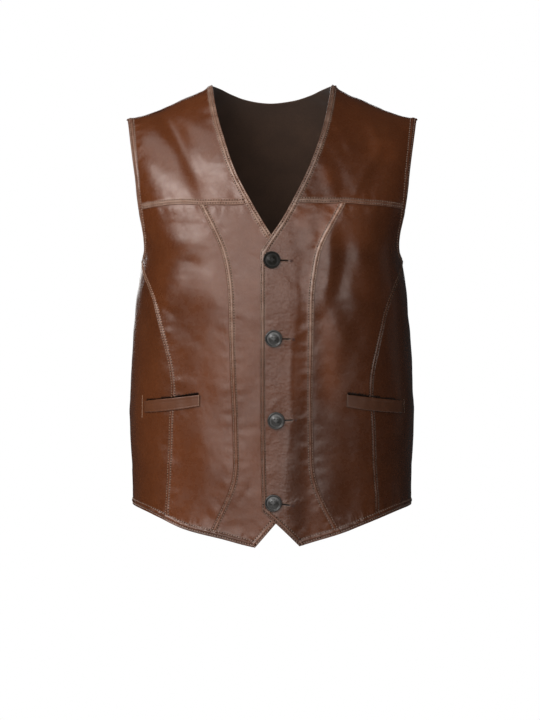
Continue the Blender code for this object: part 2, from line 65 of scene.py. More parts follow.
BUTTON_RADIUS = 11.5
BUTTON_CLEAR = 0.7       # under side of a button over the leather
SHANK_RADIUS = 1.3
SLOT_WIDTH = 1.0
SLOT_REACH = 24.5        # from the shank to the end of the buttonhole
WELT_WALL = 1.8
MOUTH_OVER = 1.6         # the pocket mouth is cut from here over the welt's edge
MOUTH_UNDER = 1.4        # to here under it

# Torso rings: rise, half width, depth in front, depth behind
RINGS = (
    (-420, 191.0, 115.0, 113.0),
    (-350, 191.5, 116.0, 111.0),
    (-300, 192.5, 117.0, 107.0),
    (-250, 195.0, 118.0, 101.0),
    (-200, 195.0, 119.5, 98.0),
    (-150, 193.0, 121.5, 101.0),
    (-100, 189.5, 123.5, 108.0),
    (-55, 185.0, 123.5, 114.0),
    (-20, 179.5, 121.0, 117.0),
    (0, 178.5, 119.5, 118.0),
    (40, 191.0, 118.0, 120.0),
    (80, 202.0, 115.5, 121.5),
    (130, 210.0, 112.0, 121.0),
    (180, 214.5, 107.0, 119.0),
    (230, 216.0, 102.0, 115.0),
    (280, 216.0, 98.0, 110.0),
    (330, 215.0, 95.0, 106.0),
)
# Shoulder line from the front: distance from the centre, height
CREST = (
    (-5, 52.0), (0, 52.0), (40, 47.0), (72, 36.0), (86, 27.0), (101, 18.0),
    (119, 10.0), (135, 2.6), (153, -5.0), (170, -11.2), (186, -16.2),
    (198, -18.8), (216, -22.0),
)
# Neckline: height, distance from the centre on the right front, on the left
# (below 0 is across the centre, in the overlap)
NECKLINE = (
    (-6, 76.3, 75.5), (-30, 70.6, 70.0), (-60, 61.6, 61.0), (-85, 53.5, 51.8),
    (-110, 42.7, 40.8), (-141.5, 25.9, 24.6), (-165, 12.3, 11.5),
    (-182, 1.7, 0.0), (-206, -14.0, -15.8),
)
NECK_POINT_X = 82.0      # where the neckline meets the shoulder seam
NECK_ON_YOKE_ROWS = 6    # the first rows above are the yoke's
# Front edges: height, edge of the right front (under), of the left (over)
FRONT_EDGE = (
    (-206, -14.0, -15.8), (-290, -15.0, -16.0), (-390, -17.0, -16.0),
    (-480, -18.5, -15.2), (-551, -19.0, -13.4),
)
# Cutaway below the last button: height and distance, right front, left front
CUTAWAY = (
    (-551, -19.0, -551.6, -13.4), (-570, -3.1, -567.5, 4.7),
    (-600, 22.8, -598.0, 36.4),
)
# Hem: distance from the centre, height on the right, on the left
HEM = (
    (36.4, -597.0, -598.0), (62, -590.0, -590.5), (90, -583.5, -582.3),
    (118, -576.0, -571.8), (143, -565.5, -562.5), (165, -556.0, -554.5),
    (185, -549.5, -549.0),
)
HEM_SIDE_RISE = -348.0
HEM_BACK_RISE = -355.0
# Yoke seam: distance from the centre, height on the right, on the left
YOKE_SEAM = (
    (26, -142.8, -140.3), (50, -143.3, -140.7), (72, -143.0, -141.1),
    (98, -142.8, -140.5), (120, -141.8, -141.8), (145, -143.0, -143.2),
    (165, -145.2, -145.0), (180, -147.4, -146.5),
)
# Curved front seam: height, distance on the right, on the left
FRONT_SEAM = (
    (-142, 97.2, 98.4), (-172, 82.7, 81.0), (-203, 68.9, 66.0),
    (-227, 62.6, 60.6), (-259, 58.6, 56.4), (-300, 57.2, 55.3),
    (-375, 55.2, 54.3), (-430, 52.8, 54.5), (-474, 51.8, 55.2),
    (-507, 53.0, 58.2), (-530, 59.9, 65.6), (-555, 71.6, 78.0),
    (-584, 85.0, 93.0),
)
# Side panel's front seam: rise, angle from the front centre
SIDE_PANEL_SEAM = (
    (-10, 88.0), (-27, 76.0), (-42, 65.5), (-60, 57.0), (-80, 51.5),
    (-105, 46.9), (-137, 42.4), (-166, 39.3), (-191, 38.4), (-219, 39.0),
    (-275, 40.5), (-332, 42.5), (-364, 43.0),
)
# Armhole, the same in front (from the front centre) and behind (from the back
# centre): rise, angle
ARMHOLE = (
    (-10, 90.0), (-8.5, 83.0), (-4, 76.5), (5, 71.6), (18, 67.6), (35, 64.4),
    (57, 61.8), (90, 59.4), (130, 58.2), (180, 58.6), (230, 59.8),
    (280, 61.4), (330, 62.9), (354, 63.3),
)
# Back neckline: rise, distance from the centre
BACK_NECK = ((330, 83.0), (300, 79.5), (268, 69.0), (240, 51.0), (222, 26.0), (216, 0.0))
# Buttons: height, distance to the wearer's left, slope of the buttonhole
BUTTONS = (
    (-217.6, -0.4, -3.0), (-321.5, 2.0, -2.0), (-430.5, 5.2, 2.0),
    (-540.0, 1.6, -8.0),
)
# Button turned profile: radius, height over the button's under side
BUTTON_PROFILE = (
    (9.4, 0.0), (11.0, 0.7), (11.5, 1.7), (11.2, 2.7), (10.4, 3.3),
    (9.4, 3.4), (8.6, 3.0), (7.8, 2.5), (4.5, 2.2),
)
BUTTON_HOLE_AT = 1.95    # from the centre, each way
BUTTON_HOLE_RADIUS = 0.95
# Pocket welts: distance of the inner end, of the outer end; heights of the
# mouth (top edge) and of the lower edge at those ends: right, then left
WELTS = {
    "right": (-1, 96.3, 170.9, -395.5, -405.6, -411.5, -420.4),
    "left": (1, 98.8, 173.6, -395.3, -405.6, -412.6, -421.0),
}


# --------------------------------------------------------------- small maths
def smooth_curve(xs, ys):
    """A natural cubic curve through the rows, held level past its ends."""
    xs, ys = np.asarray(xs, float), np.asarray(ys, float)
    order = np.argsort(xs)
    xs, ys = xs[order], ys[order]
    n, h = len(xs), np.diff(xs)
    a, r = np.zeros((n, n)), np.zeros(n)
    a[0, 0] = a[-1, -1] = 1.0
    for i in range(1, n - 1):
        a[i, i - 1], a[i, i], a[i, i + 1] = h[i - 1], 2 * (h[i - 1] + h[i]), h[i]
        r[i] = 6 * ((ys[i + 1] - ys[i]) / h[i] - (ys[i] - ys[i - 1]) / h[i - 1])
    m = np.linalg.solve(a, r)

    def at(x):
        x = np.clip(np.asarray(x, float), xs[0], xs[-1])
        i = np.clip(np.searchsorted(xs, x, side="right") - 1, 0, n - 2)
        p, q, s = xs[i + 1] - x, x - xs[i], h[i]
        return ((m[i] * p**3 + m[i + 1] * q**3) / (6 * s)
                + (ys[i] / s - m[i] * s / 6) * p
                + (ys[i + 1] / s - m[i + 1] * s / 6) * q)
    return at


def ease(a, b, x):
    t = np.clip((np.asarray(x, float) - a) / (b - a), 0, 1)
    return t * t * (3 - 2 * t)


ring = np.array(RINGS, float)
half_width = smooth_curve(ring[:, 0], ring[:, 1])
depth_front = smooth_curve(ring[:, 0], ring[:, 2])
depth_back = smooth_curve(ring[:, 0], ring[:, 3])
crest = np.array(CREST, float)
crest_z = smooth_curve(crest[:, 0], crest[:, 1])


# ------------------------------------------------------------ torso surface
def torso(angle, rise):
    """Points of the outer surface, mm, before the origin is moved."""
    angle, rise = np.broadcast_arrays(np.radians(angle), np.asarray(rise, float))
    over = rise > CREST_RISE
    angle = np.where(over, np.pi - angle, angle)
    rise = np.where(over, 2 * CREST_RISE - rise, rise)
    k = SQUARENESS
    depth = np.where(np.cos(angle) > 0, depth_front(rise), depth_back(rise))
    x = half_width(rise) * (np.sin(angle) + k * np.sin(3 * angle)) / (1 - k)
    y = -depth * (np.cos(angle) - k * np.cos(3 * angle)) / (1 - k)
    turn = np.clip(rise, 0, None) / ROUND
    s = np.sin(turn)
    top = crest_z(np.abs(x)) - CHEST_Z
    z = np.where(rise <= 0, CHEST_Z + rise,
                 CHEST_Z + ROUND * s + (top - ROUND) * s * s)
    y = y * np.cos(turn) - SHOULDER_FORWARD * (x / 200) ** 2 * s * s
    return np.stack([x, y, z], -1)


def torso_normal(angle, rise):
    da, dr = 0.05, 0.2
    along = torso(angle + da, rise) - torso(angle - da, rise)
    up = torso(angle, rise + dr) - torso(angle, rise - dr)
    n = np.cross(along, up)
    return n / np.linalg.norm(n, axis=-1, keepdims=True)


fan = np.radians(np.linspace(0, 90, 1801))
fan_x = (np.sin(fan) + SQUARENESS * np.sin(3 * fan)) / (1 - SQUARENESS)


def on_front(x, z):
    """(angle, rise) of the front surface point seen at x, z."""
    up = z - CHEST_Z
    if up > 0:
        a = float(crest_z(abs(x))) - CHEST_Z - ROUND
        s = up / ROUND if abs(a) < 1e-6 else (
            (-ROUND + math.sqrt(ROUND**2 + 4 * a * up)) / (2 * a))
        up = ROUND * math.asin(min(1.0, s))
    reach = min(abs(x) / float(half_width(up)), 1.0)
    return math.copysign(math.degrees(np.interp(reach, fan_x, fan)), x), up


bearing = torso(np.interp(BEARING_X / float(half_width(CREST_RISE)), fan_x,
                          np.degrees(fan)), CREST_RISE)
ORIGIN = np.array([0.0, bearing[1], bearing[2] - WALL])   # held up here


# --------------------------------------------------------------- seam curves
def through(points, count):
    """count + 1 evenly spaced points of a smooth curve through the points."""
    p = np.asarray(points, float)
    step = np.linalg.norm(np.diff(p * np.array([2.0, 1.0]), axis=0), axis=1)
    t = np.concatenate([[0], np.cumsum(step)])
    fa, fr = smooth_curve(t, p[:, 0]), smooth_curve(t, p[:, 1])
    fine = np.linspace(0, t[-1], 400)
    q = torso(fa(fine), fr(fine))
    run = np.concatenate([[0], np.cumsum(np.linalg.norm(np.diff(q, axis=0), axis=1))])
    s = np.interp(np.linspace(0, run[-1], count + 1), run, fine)
    return np.stack([fa(s), fr(s)], -1)


def chain(*runs):
    """Runs joined end to end, one shared point at each corner."""
    return np.concatenate([runs[0]] + [r[1:] for r in runs[1:]])


class Side:
    """The seam lines of one side: -1 the wearer's right, +1 the left."""

    def __init__(self, sign):
        self.s, self.col = sign, 1 if sign < 0 else 2

    def xz(self, x, z):
        return on_front(self.s * x, z)

    def by_height(self, table):
        return [self.xz(row[self.col], row[0]) for row in table]

    def by_width(self, table):
        return [self.xz(row[0], row[self.col]) for row in table]

    def at(self, rise, angle):
        return self.s * angle, rise

    def neck_top(self):
        w = float(half_width(SHOULDER_SEAM_RISE))
        return (self.s * float(np.interp(NECK_POINT_X / w, fan_x, np.degrees(fan))),
                SHOULDER_SEAM_RISE)

    def neck(self):
        return [self.neck_top()] + self.by_height(NECKLINE)

    def armhole_front(self, low, high):
        rows = [r for r in ARMHOLE if low <= r[0] <= high]
        return [self.at(*r) for r in rows]

    def hem(self):
        if self.s < 0:
            rows = [(22.8, -600.0, 0)] + [r for r in HEM]
        else:
            rows = list(HEM)
        pts = self.by_width(rows)
        return pts + [self.at(HEM_SIDE_RISE, 90.0), self.at(HEM_SIDE_RISE, SIDE_SEAM_ANGLE)]


def cut_at(curve_pts, angle):
    """Split a curve, given by points running outwards, at an angle."""
    fine = through(curve_pts, 600)
    i = int(np.argmin(np.abs(np.abs(fine[:, 0]) - abs(angle))))
    return fine[: i + 1], fine[i:]


def evenly(points, count):
    """A dense run of points, resampled to count + 1."""
    q = torso(points[:, 0], points[:, 1])
    run = np.concatenate([[0], np.cumsum(np.linalg.norm(np.diff(q, axis=0), axis=1))])
    s = np.linspace(0, run[-1], count + 1)
    return np.stack([np.interp(s, run, points[:, 0]), np.interp(s, run, points[:, 1])], -1)


def fill(low, high, left, right):
    """A grid between four edges that share corners: rows run low to high."""
    u = np.linspace(0, 1, len(low))[None, :, None]
    v = np.linspace(0, 1, len(left))[:, None, None]
    ruled_v = (1 - v) * low[None] + v * high[None]
    ruled_u = (1 - u) * left[:, None] + u * right[:, None]
    corners = ((1 - u) * (1 - v) * low[0] + u * (1 - v) * low[-1]
               + (1 - u) * v * high[0] + u * v * high[-1])
    return ruled_v + ruled_u - corners


def relax(grid, steps=400):
    """Even out a grid's cells, its edges held."""
    g = grid.copy()
    for _ in range(steps):
        g[1:-1, 1:-1] = (g[:-2, 1:-1] + g[2:, 1:-1] + g[1:-1, :-2] + g[1:-1, 2:]) / 4
    return g



# ------------------------------------------------- stitching and edges, mm
PITCH = 3.5              # needle hole to needle hole
# kind of edge: first row, second row, edge rounding, padded height, ridge
KINDS = {
    "neck": (2.7, 7.5, 1.25, 0.50, 0.80),
    "lap": (1.9, 5.8, 1.10, 0.40, 0.65),
    "cutaway": (2.3, 7.3, 1.20, 0.50, 0.80),
    "hem": (3.0, 8.5, 1.25, 0.55, 0.85),
    "armhole": (2.7, 8.0, 1.20, 0.50, 0.80),
    "front_seam_over": (1.6, 6.6, 0.85, 0.75, 0.75),
    "yoke_over": (2.4, 6.4, 0.90, 0.75, 0.80),
    "panel_seam_over": (1.2, 4.8, 0.75, 0.55, 0.45),
}
UNDER = {"front_seam_under": 0.15, "yoke_under": 0.20, "panel_seam_under": 0.12,
         "plain": 0.20}
NEAR = np.array((0, .15, .4, .75, 1.2, 1.8, 2.5, 3.3, 4.2, 5.2, 6.3, 7.6, 9.0,
                 10.8, 13.0, 15.8))
STEP = 3.2               # between the grid's lines away from the edges


# --------------------------------------------------------------- small fields
def ripples(points, across, along, seed, waves=14):
    """A smooth uneven field of about unit size; wavelengths in mm, the second
    one is up and down."""
    rng = np.random.default_rng(seed)
    total = np.zeros(points.shape[:-1])
    for _ in range(waves):
        t = rng.uniform(0, 2 * math.pi)
        grow = rng.uniform(0.7, 1.5)
        tilt = rng.uniform(0, 2 * math.pi)
        k = np.array([math.cos(t) * math.cos(tilt) / across,
                      math.cos(t) * math.sin(tilt) / across,
                      math.sin(t) / along]) * 2 * math.pi * grow
        total = total + np.cos(points @ k + rng.uniform(0, 2 * math.pi))
    return total / math.sqrt(waves / 2)


def uneven(s, seed, wave=11.0, waves=7):
    """The same along a line: s in mm."""
    rng = np.random.default_rng(seed)
    total = np.zeros(np.shape(s))
    for _ in range(waves):
        k = 2 * math.pi / (wave * rng.uniform(0.55, 1.9))
        total = total + np.sin(k * s + rng.uniform(0, 2 * math.pi))
    return total / math.sqrt(waves / 2)


def hump(d, middle, width):
    return np.exp(-((d - middle) / width) ** 2)


# ------------------------------------------------------------- edge distances
class Line:
    """A line on the torso: how far a point is from it, and where along it."""

    def __init__(self, run, kind):
        self.kind = kind
        q = torso(run[:, 0], run[:, 1])
        step = np.linalg.norm(np.diff(q, axis=0), axis=1)
        keep = np.concatenate([[True], step > 1e-6])
        self.run, self.q = run[keep], q[keep]
        step = np.linalg.norm(np.diff(self.q, axis=0), axis=1)
        self.s = np.concatenate([[0], np.cumsum(step)])
        self.tree = KDTree(len(self.q))
        for i, p in enumerate(self.q):
            self.tree.insert(p, i)
        self.tree.balance()

    def measure(self, points):
        """(distance, place along) of each point, a flat list."""
        near = np.array([self.tree.find(p)[1] for p in points])
        best = np.full(len(points), 1e9)
        where = np.zeros(len(points))
        for shift in (-1, 0):
            a = np.clip(near + shift, 0, len(self.q) - 2)
            p, d = self.q[a], self.q[a + 1] - self.q[a]
            t = np.clip(np.sum((points - p) * d, 1) / np.sum(d * d, 1), 0, 1)
            gap = np.linalg.norm(points - p - d * t[:, None], axis=1)
            better = gap < best
            best = np.where(better, gap, best)
            where = np.where(better, self.s[a] + t * (self.s[a + 1] - self.s[a]), where)
        return best, where


# ----------------------------------------------------- lines of both sides
FINE = 10


class Lines:
    """Every edge and seam of one side, as dense runs of (angle, rise)."""

    def __init__(self, sign):
        side = Side(sign)
        neck = side.neck()
        self.neck_yoke = through(neck[: NECK_ON_YOKE_ROWS + 1], 13 * FINE)
        self.neck_low = through(neck[NECK_ON_YOKE_ROWS:], 5 * FINE)
        yoke_line = side.by_width(YOKE_SEAM)
        yoke_line[0] = tuple(self.neck_yoke[-1])
        arm_top = through(side.armhole_front(57, 354), 400)
        arm_low = through(side.armhole_front(-10, 90), 400)
        yoke_rise = yoke_line[-1][1]
        arm = np.concatenate([arm_low, arm_top[arm_top[:, 1] > 90]])
        arm_yoke = arm[(arm[:, 1] >= yoke_rise) & (arm[:, 1] <= SHOULDER_SEAM_RISE)]
        arm_side = arm_low[arm_low[:, 1] <= yoke_rise]
        yoke_line[-1] = tuple(arm_yoke[0])
        arm_side = np.concatenate([arm_side[np.abs(arm_side[:, 0]) <= 88.0], arm_yoke[:1]])
        self.arm_yoke = evenly(arm_yoke, 13 * FINE)
        self.arm_side = evenly(arm_side, 8 * FINE)

        front_seam = side.by_height(FRONT_SEAM)
        yoke_in, yoke_out = cut_at(yoke_line, front_seam[0][0])
        front_seam[0] = tuple(yoke_in[-1])
        hem = side.hem()
        hem_in, hem_rest = cut_at(hem, front_seam[-1][0])
        front_seam[-1] = tuple(hem_in[-1])
        panel_seam = [side.at(r, a) for r, a in SIDE_PANEL_SEAM]
        hem_mid, hem_out = cut_at(list(map(tuple, evenly(hem_rest, 60))), panel_seam[-1][0])
        panel_seam[-1] = tuple(hem_mid[-1])
        panel_seam[0] = tuple(self.arm_side[0])
        self.yoke_in, self.yoke_out = evenly(yoke_in, 4 * FINE), evenly(yoke_out, 6 * FINE)
        self.front_seam = through(front_seam, 28 * FINE)
        self.panel_seam = through(panel_seam, 20 * FINE)
        self.hem_in, self.hem_mid = evenly(hem_in, 6 * FINE), evenly(hem_mid, 7 * FINE)
        self.hem_out = evenly(hem_out, 6 * FINE)
        self.edge = through([side.xz(r[side.col], r[0]) for r in FRONT_EDGE], 19 * FINE)
        self.cut = through([side.xz(r[1], r[0]) if sign < 0 else side.xz(r[3], r[2])
                            for r in CUTAWAY], 3 * FINE)
        self.hem_in[0] = self.cut[-1]
        ends = [self.neck_yoke[0], self.arm_yoke[-1]]
        self.shoulder = through([ends[0], (0.5 * (ends[0][0] + ends[1][0]),
                                           SHOULDER_SEAM_RISE), ends[1]], 10 * FINE)
        tip = self.panel_seam[0]
        self.under = np.array([side.at(-10 + 2 * ease(90, SIDE_SEAM_ANGLE, a), a)
                               for a in np.linspace(abs(tip[0]), SIDE_SEAM_ANGLE,
                                                    6 * FINE + 1)])
        self.under[0] = tip
        self.side_seam = np.stack([
            np.full(20 * FINE + 1, sign * SIDE_SEAM_ANGLE),
            np.linspace(self.under[-1][1], self.hem_out[-1][1], 20 * FINE + 1)], -1)
        self.hem_out[-1] = self.side_seam[-1]


line = {-1: Lines(-1), 1: Lines(1)}

# the back's edges, as (angle from the back centre, rise)
side_angle = 180.0 - SIDE_SEAM_ANGLE
top_rise = 2 * CREST_RISE - SHOULDER_SEAM_RISE


def back_edges(fine):
    arm = through([(side_angle, -8.0)] + [(a, r) for r, a in ARMHOLE if r >= -4],
                  14 * fine)
    arm = np.concatenate([arm[:-1], [[63.2, top_rise]]])
    flank = chain(through([(side_angle, HEM_SIDE_RISE), (side_angle, -8.0)],
                          12 * fine), arm)

    def angle_at(x, rise):
        return float(np.interp(x / float(half_width(rise)), fan_x, np.degrees(fan)))
    neck_angle = angle_at(NECK_POINT_X, SHOULDER_SEAM_RISE)
    hem = np.array([(a, HEM_BACK_RISE + (HEM_SIDE_RISE - HEM_BACK_RISE)
                     * ease(10, side_angle, abs(a)))
                    for a in np.linspace(-side_angle, side_angle, 26 * fine + 1)])
    half = [(neck_angle, top_rise)] + [(angle_at(x, r), r) for r, x in BACK_NECK]
    shoulder = through([(63.2, top_rise), (0.5 * (63.2 + neck_angle), top_rise),
                        (neck_angle, top_rise)], 5 * fine)
    neck = through([(-a, r) for a, r in half] + half[-2::-1], 16 * fine)
    top = chain(shoulder * np.array([-1, 1]), neck, shoulder[::-1])
    return hem, top, flank, arm, shoulder, neck


mirror = np.array([-1.0, 1.0])


def from_front(run):
    """The back's own angle to the angle round the body."""
    out = np.array(run, float)
    out[:, 0] = 180.0 - out[:, 0]
    return out


b_hem, b_top, b_flank, b_arm, b_shoulder, b_neck = back_edges(FINE)


def whole(kind, *runs):
    return Line(chain(*runs), kind)


# one measured line for each edge, shared by the panels along it
edges = {}
for s, L in line.items():
    edges["neck", s] = whole("neck", L.neck_yoke, L.neck_low)
    edges["lap", s] = whole("lap", L.edge)
    edges["cutaway", s] = whole("cutaway", L.cut)
    edges["hem", s] = whole("hem", L.hem_in, L.hem_mid, L.hem_out)
    edges["armhole", s] = whole("armhole", L.under[::-1], L.arm_side, L.arm_yoke)
    edges["front_seam", s] = whole("front_seam", L.front_seam)
    edges["yoke", s] = whole("yoke", L.yoke_in, L.yoke_out)
    edges["panel_seam", s] = whole("panel_seam", L.panel_seam)
    edges["shoulder", s] = whole("shoulder", L.shoulder)
    edges["side_seam", s] = whole("side_seam", L.side_seam)
edges["hem", 0] = whole("hem", from_front(b_hem))
edges["neck", 0] = whole("neck", from_front(b_neck))
edges["back_arm", 1] = whole("armhole", from_front(b_arm))
edges["back_arm", -1] = whole("armhole", from_front(b_arm * mirror))
edges["back_shoulder", 1] = whole("shoulder", from_front(b_shoulder))
edges["back_shoulder", -1] = whole("shoulder", from_front(b_shoulder * mirror))


# ------------------------------------------------------------------- folds
F_PX = 3200 / 1.38       # the view that the front's creases are placed in


def seen_at(p):
    """Where a point shows in the 540 x 720 view, px."""
    k = F_PX / (3200 + p[..., 1])
    return 270 + (p[..., 0] + 2.76) * k, 360 - (p[..., 2] + 350) * k


# Creases of the front, px: from x, y to x, y, half width, height in mm
# (below 0 is a trough)
CREASES = (
    # wearer's right yoke: the diagonal trough and the swells beside it
    (158, 110, 202, 194, 8.5, -3.1), (171, 106, 215, 188, 15.0, -1.9),
    (146, 160, 176, 192, 12.0, 0.9), (206, 134, 232, 172, 11.0, 0.6),
    (170, 108, 200, 128, 9.0, 0.8), (206, 150, 238, 128, 6.0, -0.5),
    (225, 172, 250, 196, 5.0, 0.5),
    # right chest and waist
    (146, 236, 208, 244, 16.0, 2.5), (182, 300, 184, 420, 16.0, -1.0),
    (212, 250, 214, 300, 8.0, 0.7), (190, 252, 206, 262, 6.0, 0.5),
    (232, 236, 262, 224, 4.0, -0.4),
    (215, 300, 262, 322, 5.0, 0.45), (214, 330, 240, 350, 5.0, -0.45),
    (176, 436, 178, 500, 17.0, -1.8), (168, 330, 196, 352, 7.0, 0.5),
    (150, 300, 176, 316, 5.0, -0.6), (158, 372, 190, 384, 6.0, 0.6),
    (240, 432, 262, 428, 3.5, -0.4),
    (150, 440, 172, 470, 8.0, 0.7), (238, 486, 252, 502, 2.8, 0.6),
    (252, 486, 238, 504, 2.6, -0.5), (175, 528, 214, 534, 5.0, 0.7),
    (214, 534, 250, 540, 5.0, 0.8), (212, 520, 244, 528, 3.5, -0.4),
    # wearer's left yoke
    (332, 124, 352, 150, 5.0, 0.9), (326, 120, 344, 152, 4.5, -0.8),
    (371, 126, 380, 150, 4.5, 0.9), (362, 126, 370, 150, 5.0, -0.8),
    (316, 150, 332, 196, 7.0, 1.0), (334, 156, 344, 196, 6.0, -0.9),
    (380, 148, 354, 192, 5.0, 1.0), (390, 152, 368, 194, 6.0, -0.9),
    (302, 150, 314, 190, 6.0, -0.5),
    # left chest and waist
    (300, 212, 314, 246, 10.0, 1.4), (294, 204, 316, 206, 11.0, 1.3),
    (310, 232, 309, 348, 7.5, 1.0),
    (328, 226, 324, 300, 8.0, 2.0), (346, 236, 338, 292, 9.0, -1.6),
    (322, 300, 342, 350, 7.0, 1.0), (338, 298, 360, 344, 9.0, -1.2),
    (344, 346, 370, 372, 7.0, 0.6), (320, 360, 350, 392, 6.0, 0.5),
    (322, 398, 350, 420, 8.0, -0.7), (326, 440, 334, 500, 9.0, 0.7),
    (346, 430, 352, 510, 9.0, -0.8), (316, 500, 330, 528, 5.0, 0.6),
    (362, 250, 372, 300, 8.0, 0.7), (384, 300, 396, 352, 9.0, -0.8),
    (296, 536, 330, 530, 5.0, 0.3), (336, 526, 372, 518, 5.0, 0.3),
    # pulls at the buttons and along the lap
    (262, 262, 244, 254, 2.5, 0.35), (284, 258, 302, 250, 2.6, 0.4),
    (286, 272, 304, 286, 5.0, -0.9), (290, 341, 306, 332, 2.6, 0.4),
    (288, 348, 304, 360, 2.6, -0.35), (292, 424, 308, 416, 2.6, 0.4),
    (290, 432, 306, 444, 2.6, -0.35), (290, 508, 308, 500, 2.6, 0.4),
    (270, 410, 277, 400, 1.6, 0.45), (267, 405, 274, 396, 1.5, -0.35),
    # the under front's edge, felt through the lap
    (291, 262, 295, 330, 2.8, 0.32), (294, 330, 291, 420, 2.4, 0.50),
    (291, 418, 288, 545, 2.4, 0.65),
)
# Creases of the sides and the back: angle, rise to angle, rise, half width,
# height, all on the surface
HIDDEN = (
    (96, -20, 84, -90, 9.0, -1.3), (104, -14, 112, -84, 9.0, -1.2),
    (90, -30, 98, -120, 8.0, 1.0), (78, -60, 70, -130, 8.0, 1.0),
    (112, -150, 88, -190, 8.0, -0.9), (84, -210, 110, -236, 9.0, 0.8),
    (100, -262, 82, -300, 8.0, -0.7), (118, -40, 128, -120, 10.0, 1.1),
    (-96, -20, -84, -90, 9.0, -1.2), (-104, -16, -113, -80, 9.0, -1.3),
    (-91, -34, -99, -112, 8.0, 1.1), (-79, -64, -72, -124, 8.0, 0.9),
    (-113, -142, -90, -186, 8.0, -0.9), (-86, -216, -108, -240, 9.0, 0.9),
    (-98, -268, -80, -296, 8.0, -0.7), (-118, -44, -127, -110, 10.0, 1.0),
    (150, 30, 138, -60, 11.0, 1.1), (-151, 24, -138, -66, 11.0, 1.2),
    (166, 250, 138, 200, 10.0, -1.0), (-167, 252, -140, 206, 10.0, -1.0),
    (174, 236, 178, 150, 12.0, 0.7), (-150, 150, -136, 60, 11.0, -0.9),
    (149, 156, 135, 70, 11.0, -0.9), (160, -120, 196, -138, 9.0, 0.9),
    (150, -170, 186, -186, 9.0, -0.8), (-166, -182, -140, -204, 9.0, 0.8),
    (168, -215, 206, -236, 9.0, 0.7), (142, -230, 160, -262, 8.0, -0.7),
    (182, -30, 180, -110, 12.0, -0.8), (-148, -262, -166, -300, 9.0, 0.7),
)


def bar(x, y, x0, y0, x1, y1, width):
    """1 on the line, fading to 0 beside it and towards both its ends."""
    dx, dy = x1 - x0, y1 - y0
    run = math.hypot(dx, dy)
    t = ((x - x0) * dx + (y - y0) * dy) / run**2
    # a slight bow keeps a crease from being straight
    bow = 0.06 * run * math.sin(7.0 * x0 + 3.0 * y1)
    across = ((x - x0) * dy - (y - y0) * dx) / run + bow * (4 * t * (1 - t))
    ends = ease(-0.28, 0.22, t) * (1 - ease(0.78, 1.28, t))
    return np.exp(-(across / width) ** 2) * ends


def folds(angle, rise, p):
    """Swells and creases of the worn leather, mm out of the smooth surface."""
    round_to = np.abs(np.where(angle > 180, 360 - angle, angle))
    front = 1 - ease(66, 84, round_to)
    px, py = seen_at(p)
    total = np.zeros(p.shape[:-1])
    for x0, y0, x1, y1, width, height in CREASES:
        total += height * bar(px, py, x0, y0, x1, y1, width)
    total *= front
    mm = 2.3 * np.where(angle > 180, angle - 360, angle)
    for a0, r0, a1, r1, width, height in HIDDEN:
        for turn in (-360, 0, 360):
            total += (1 - front) * height * bar(
                mm, rise, 2.3 * (a0 + turn), r0, 2.3 * (a1 + turn), r1, width)
    total += 0.36 * ripples(p, 70.0, 120.0, 11) + 0.10 * ripples(p, 30.0, 55.0, 12)
    total += 0.035 * ripples(p, 13.0, 15.0, 13)
    return total


# --------------------------------------------------------------- materials
def nodes_of(name):
    m = bpy.data.materials.new(name)
    m.use_nodes = True
    t = m.node_tree
    return m, t, t.nodes["Principled BSDF"]


class Graph:
    """Short names for the few kinds of node used here."""

    def __init__(self, tree):
        self.t = tree
        self.coord = tree.nodes.new("ShaderNodeTexCoord").outputs["Object"]

    def link(self, a, b):
        self.t.links.new(a, b)

    def noise(self, scale, detail=3.0, rough=0.5, stretch=None):
        source = self.coord
        if stretch is not None:
            mp = self.t.nodes.new("ShaderNodeMapping")
            mp.inputs["Scale"].default_value = stretch
            self.link(source, mp.inputs["Vector"])
            source = mp.outputs["Vector"]
        n = self.t.nodes.new("ShaderNodeTexNoise")
        n.inputs["Scale"].default_value = scale
        n.inputs["Detail"].default_value = detail
        n.inputs["Roughness"].default_value = rough
        self.link(source, n.inputs["Vector"])
        return n.outputs["Fac"]

    def voronoi(self, scale, feature="F1"):
        n = self.t.nodes.new("ShaderNodeTexVoronoi")
        n.feature = feature
        n.inputs["Scale"].default_value = scale
        self.link(self.coord, n.inputs["Vector"])
        return n.outputs["Distance"]

    def ranged(self, value, a, b, c, d):
        n = self.t.nodes.new("ShaderNodeMapRange")
        for key, v in zip(("From Min", "From Max", "To Min", "To Max"), (a, b, c, d)):
            n.inputs[key].default_value = v
        self.link(value, n.inputs["Value"])
        return n.outputs["Result"]

    def math(self, op, a, b):
        n = self.t.nodes.new("ShaderNodeMath")
        n.operation = op
        for i, v in enumerate((a, b)):
            if isinstance(v, (int, float)):
                n.inputs[i].default_value = v
            else:
                self.link(v, n.inputs[i])
        return n.outputs["Value"]

    def mix(self, factor, a, b, kind="MIX"):
        n = self.t.nodes.new("ShaderNodeMix")
        n.data_type, n.blend_type = "RGBA", kind
        if isinstance(factor, (int, float)):
            n.inputs["Factor"].default_value = factor
        else:
            self.link(factor, n.inputs["Factor"])
        for key, v in (("A", a), ("B", b)):
            socket = [s_ for s_ in n.inputs if s_.name == key and s_.type == "RGBA"][0]
            if isinstance(v, tuple):
                socket.default_value = (*v, 1.0)
            else:
                self.link(v, socket)
        return [o for o in n.outputs if o.type == "RGBA"][0]

    def value(self, name):
        n = self.t.nodes.new("ShaderNodeAttribute")
        n.attribute_name = name
        return n.outputs["Fac"]

    def bump(self, height, distance, strength=1.0, base=None):
        n = self.t.nodes.new("ShaderNodeBump")
        n.inputs["Distance"].default_value = distance
        n.inputs["Strength"].default_value = strength
        self.link(height, n.inputs["Height"])
        if base is not None:
            self.link(base, n.inputs["Normal"])
        return n.outputs["Normal"]


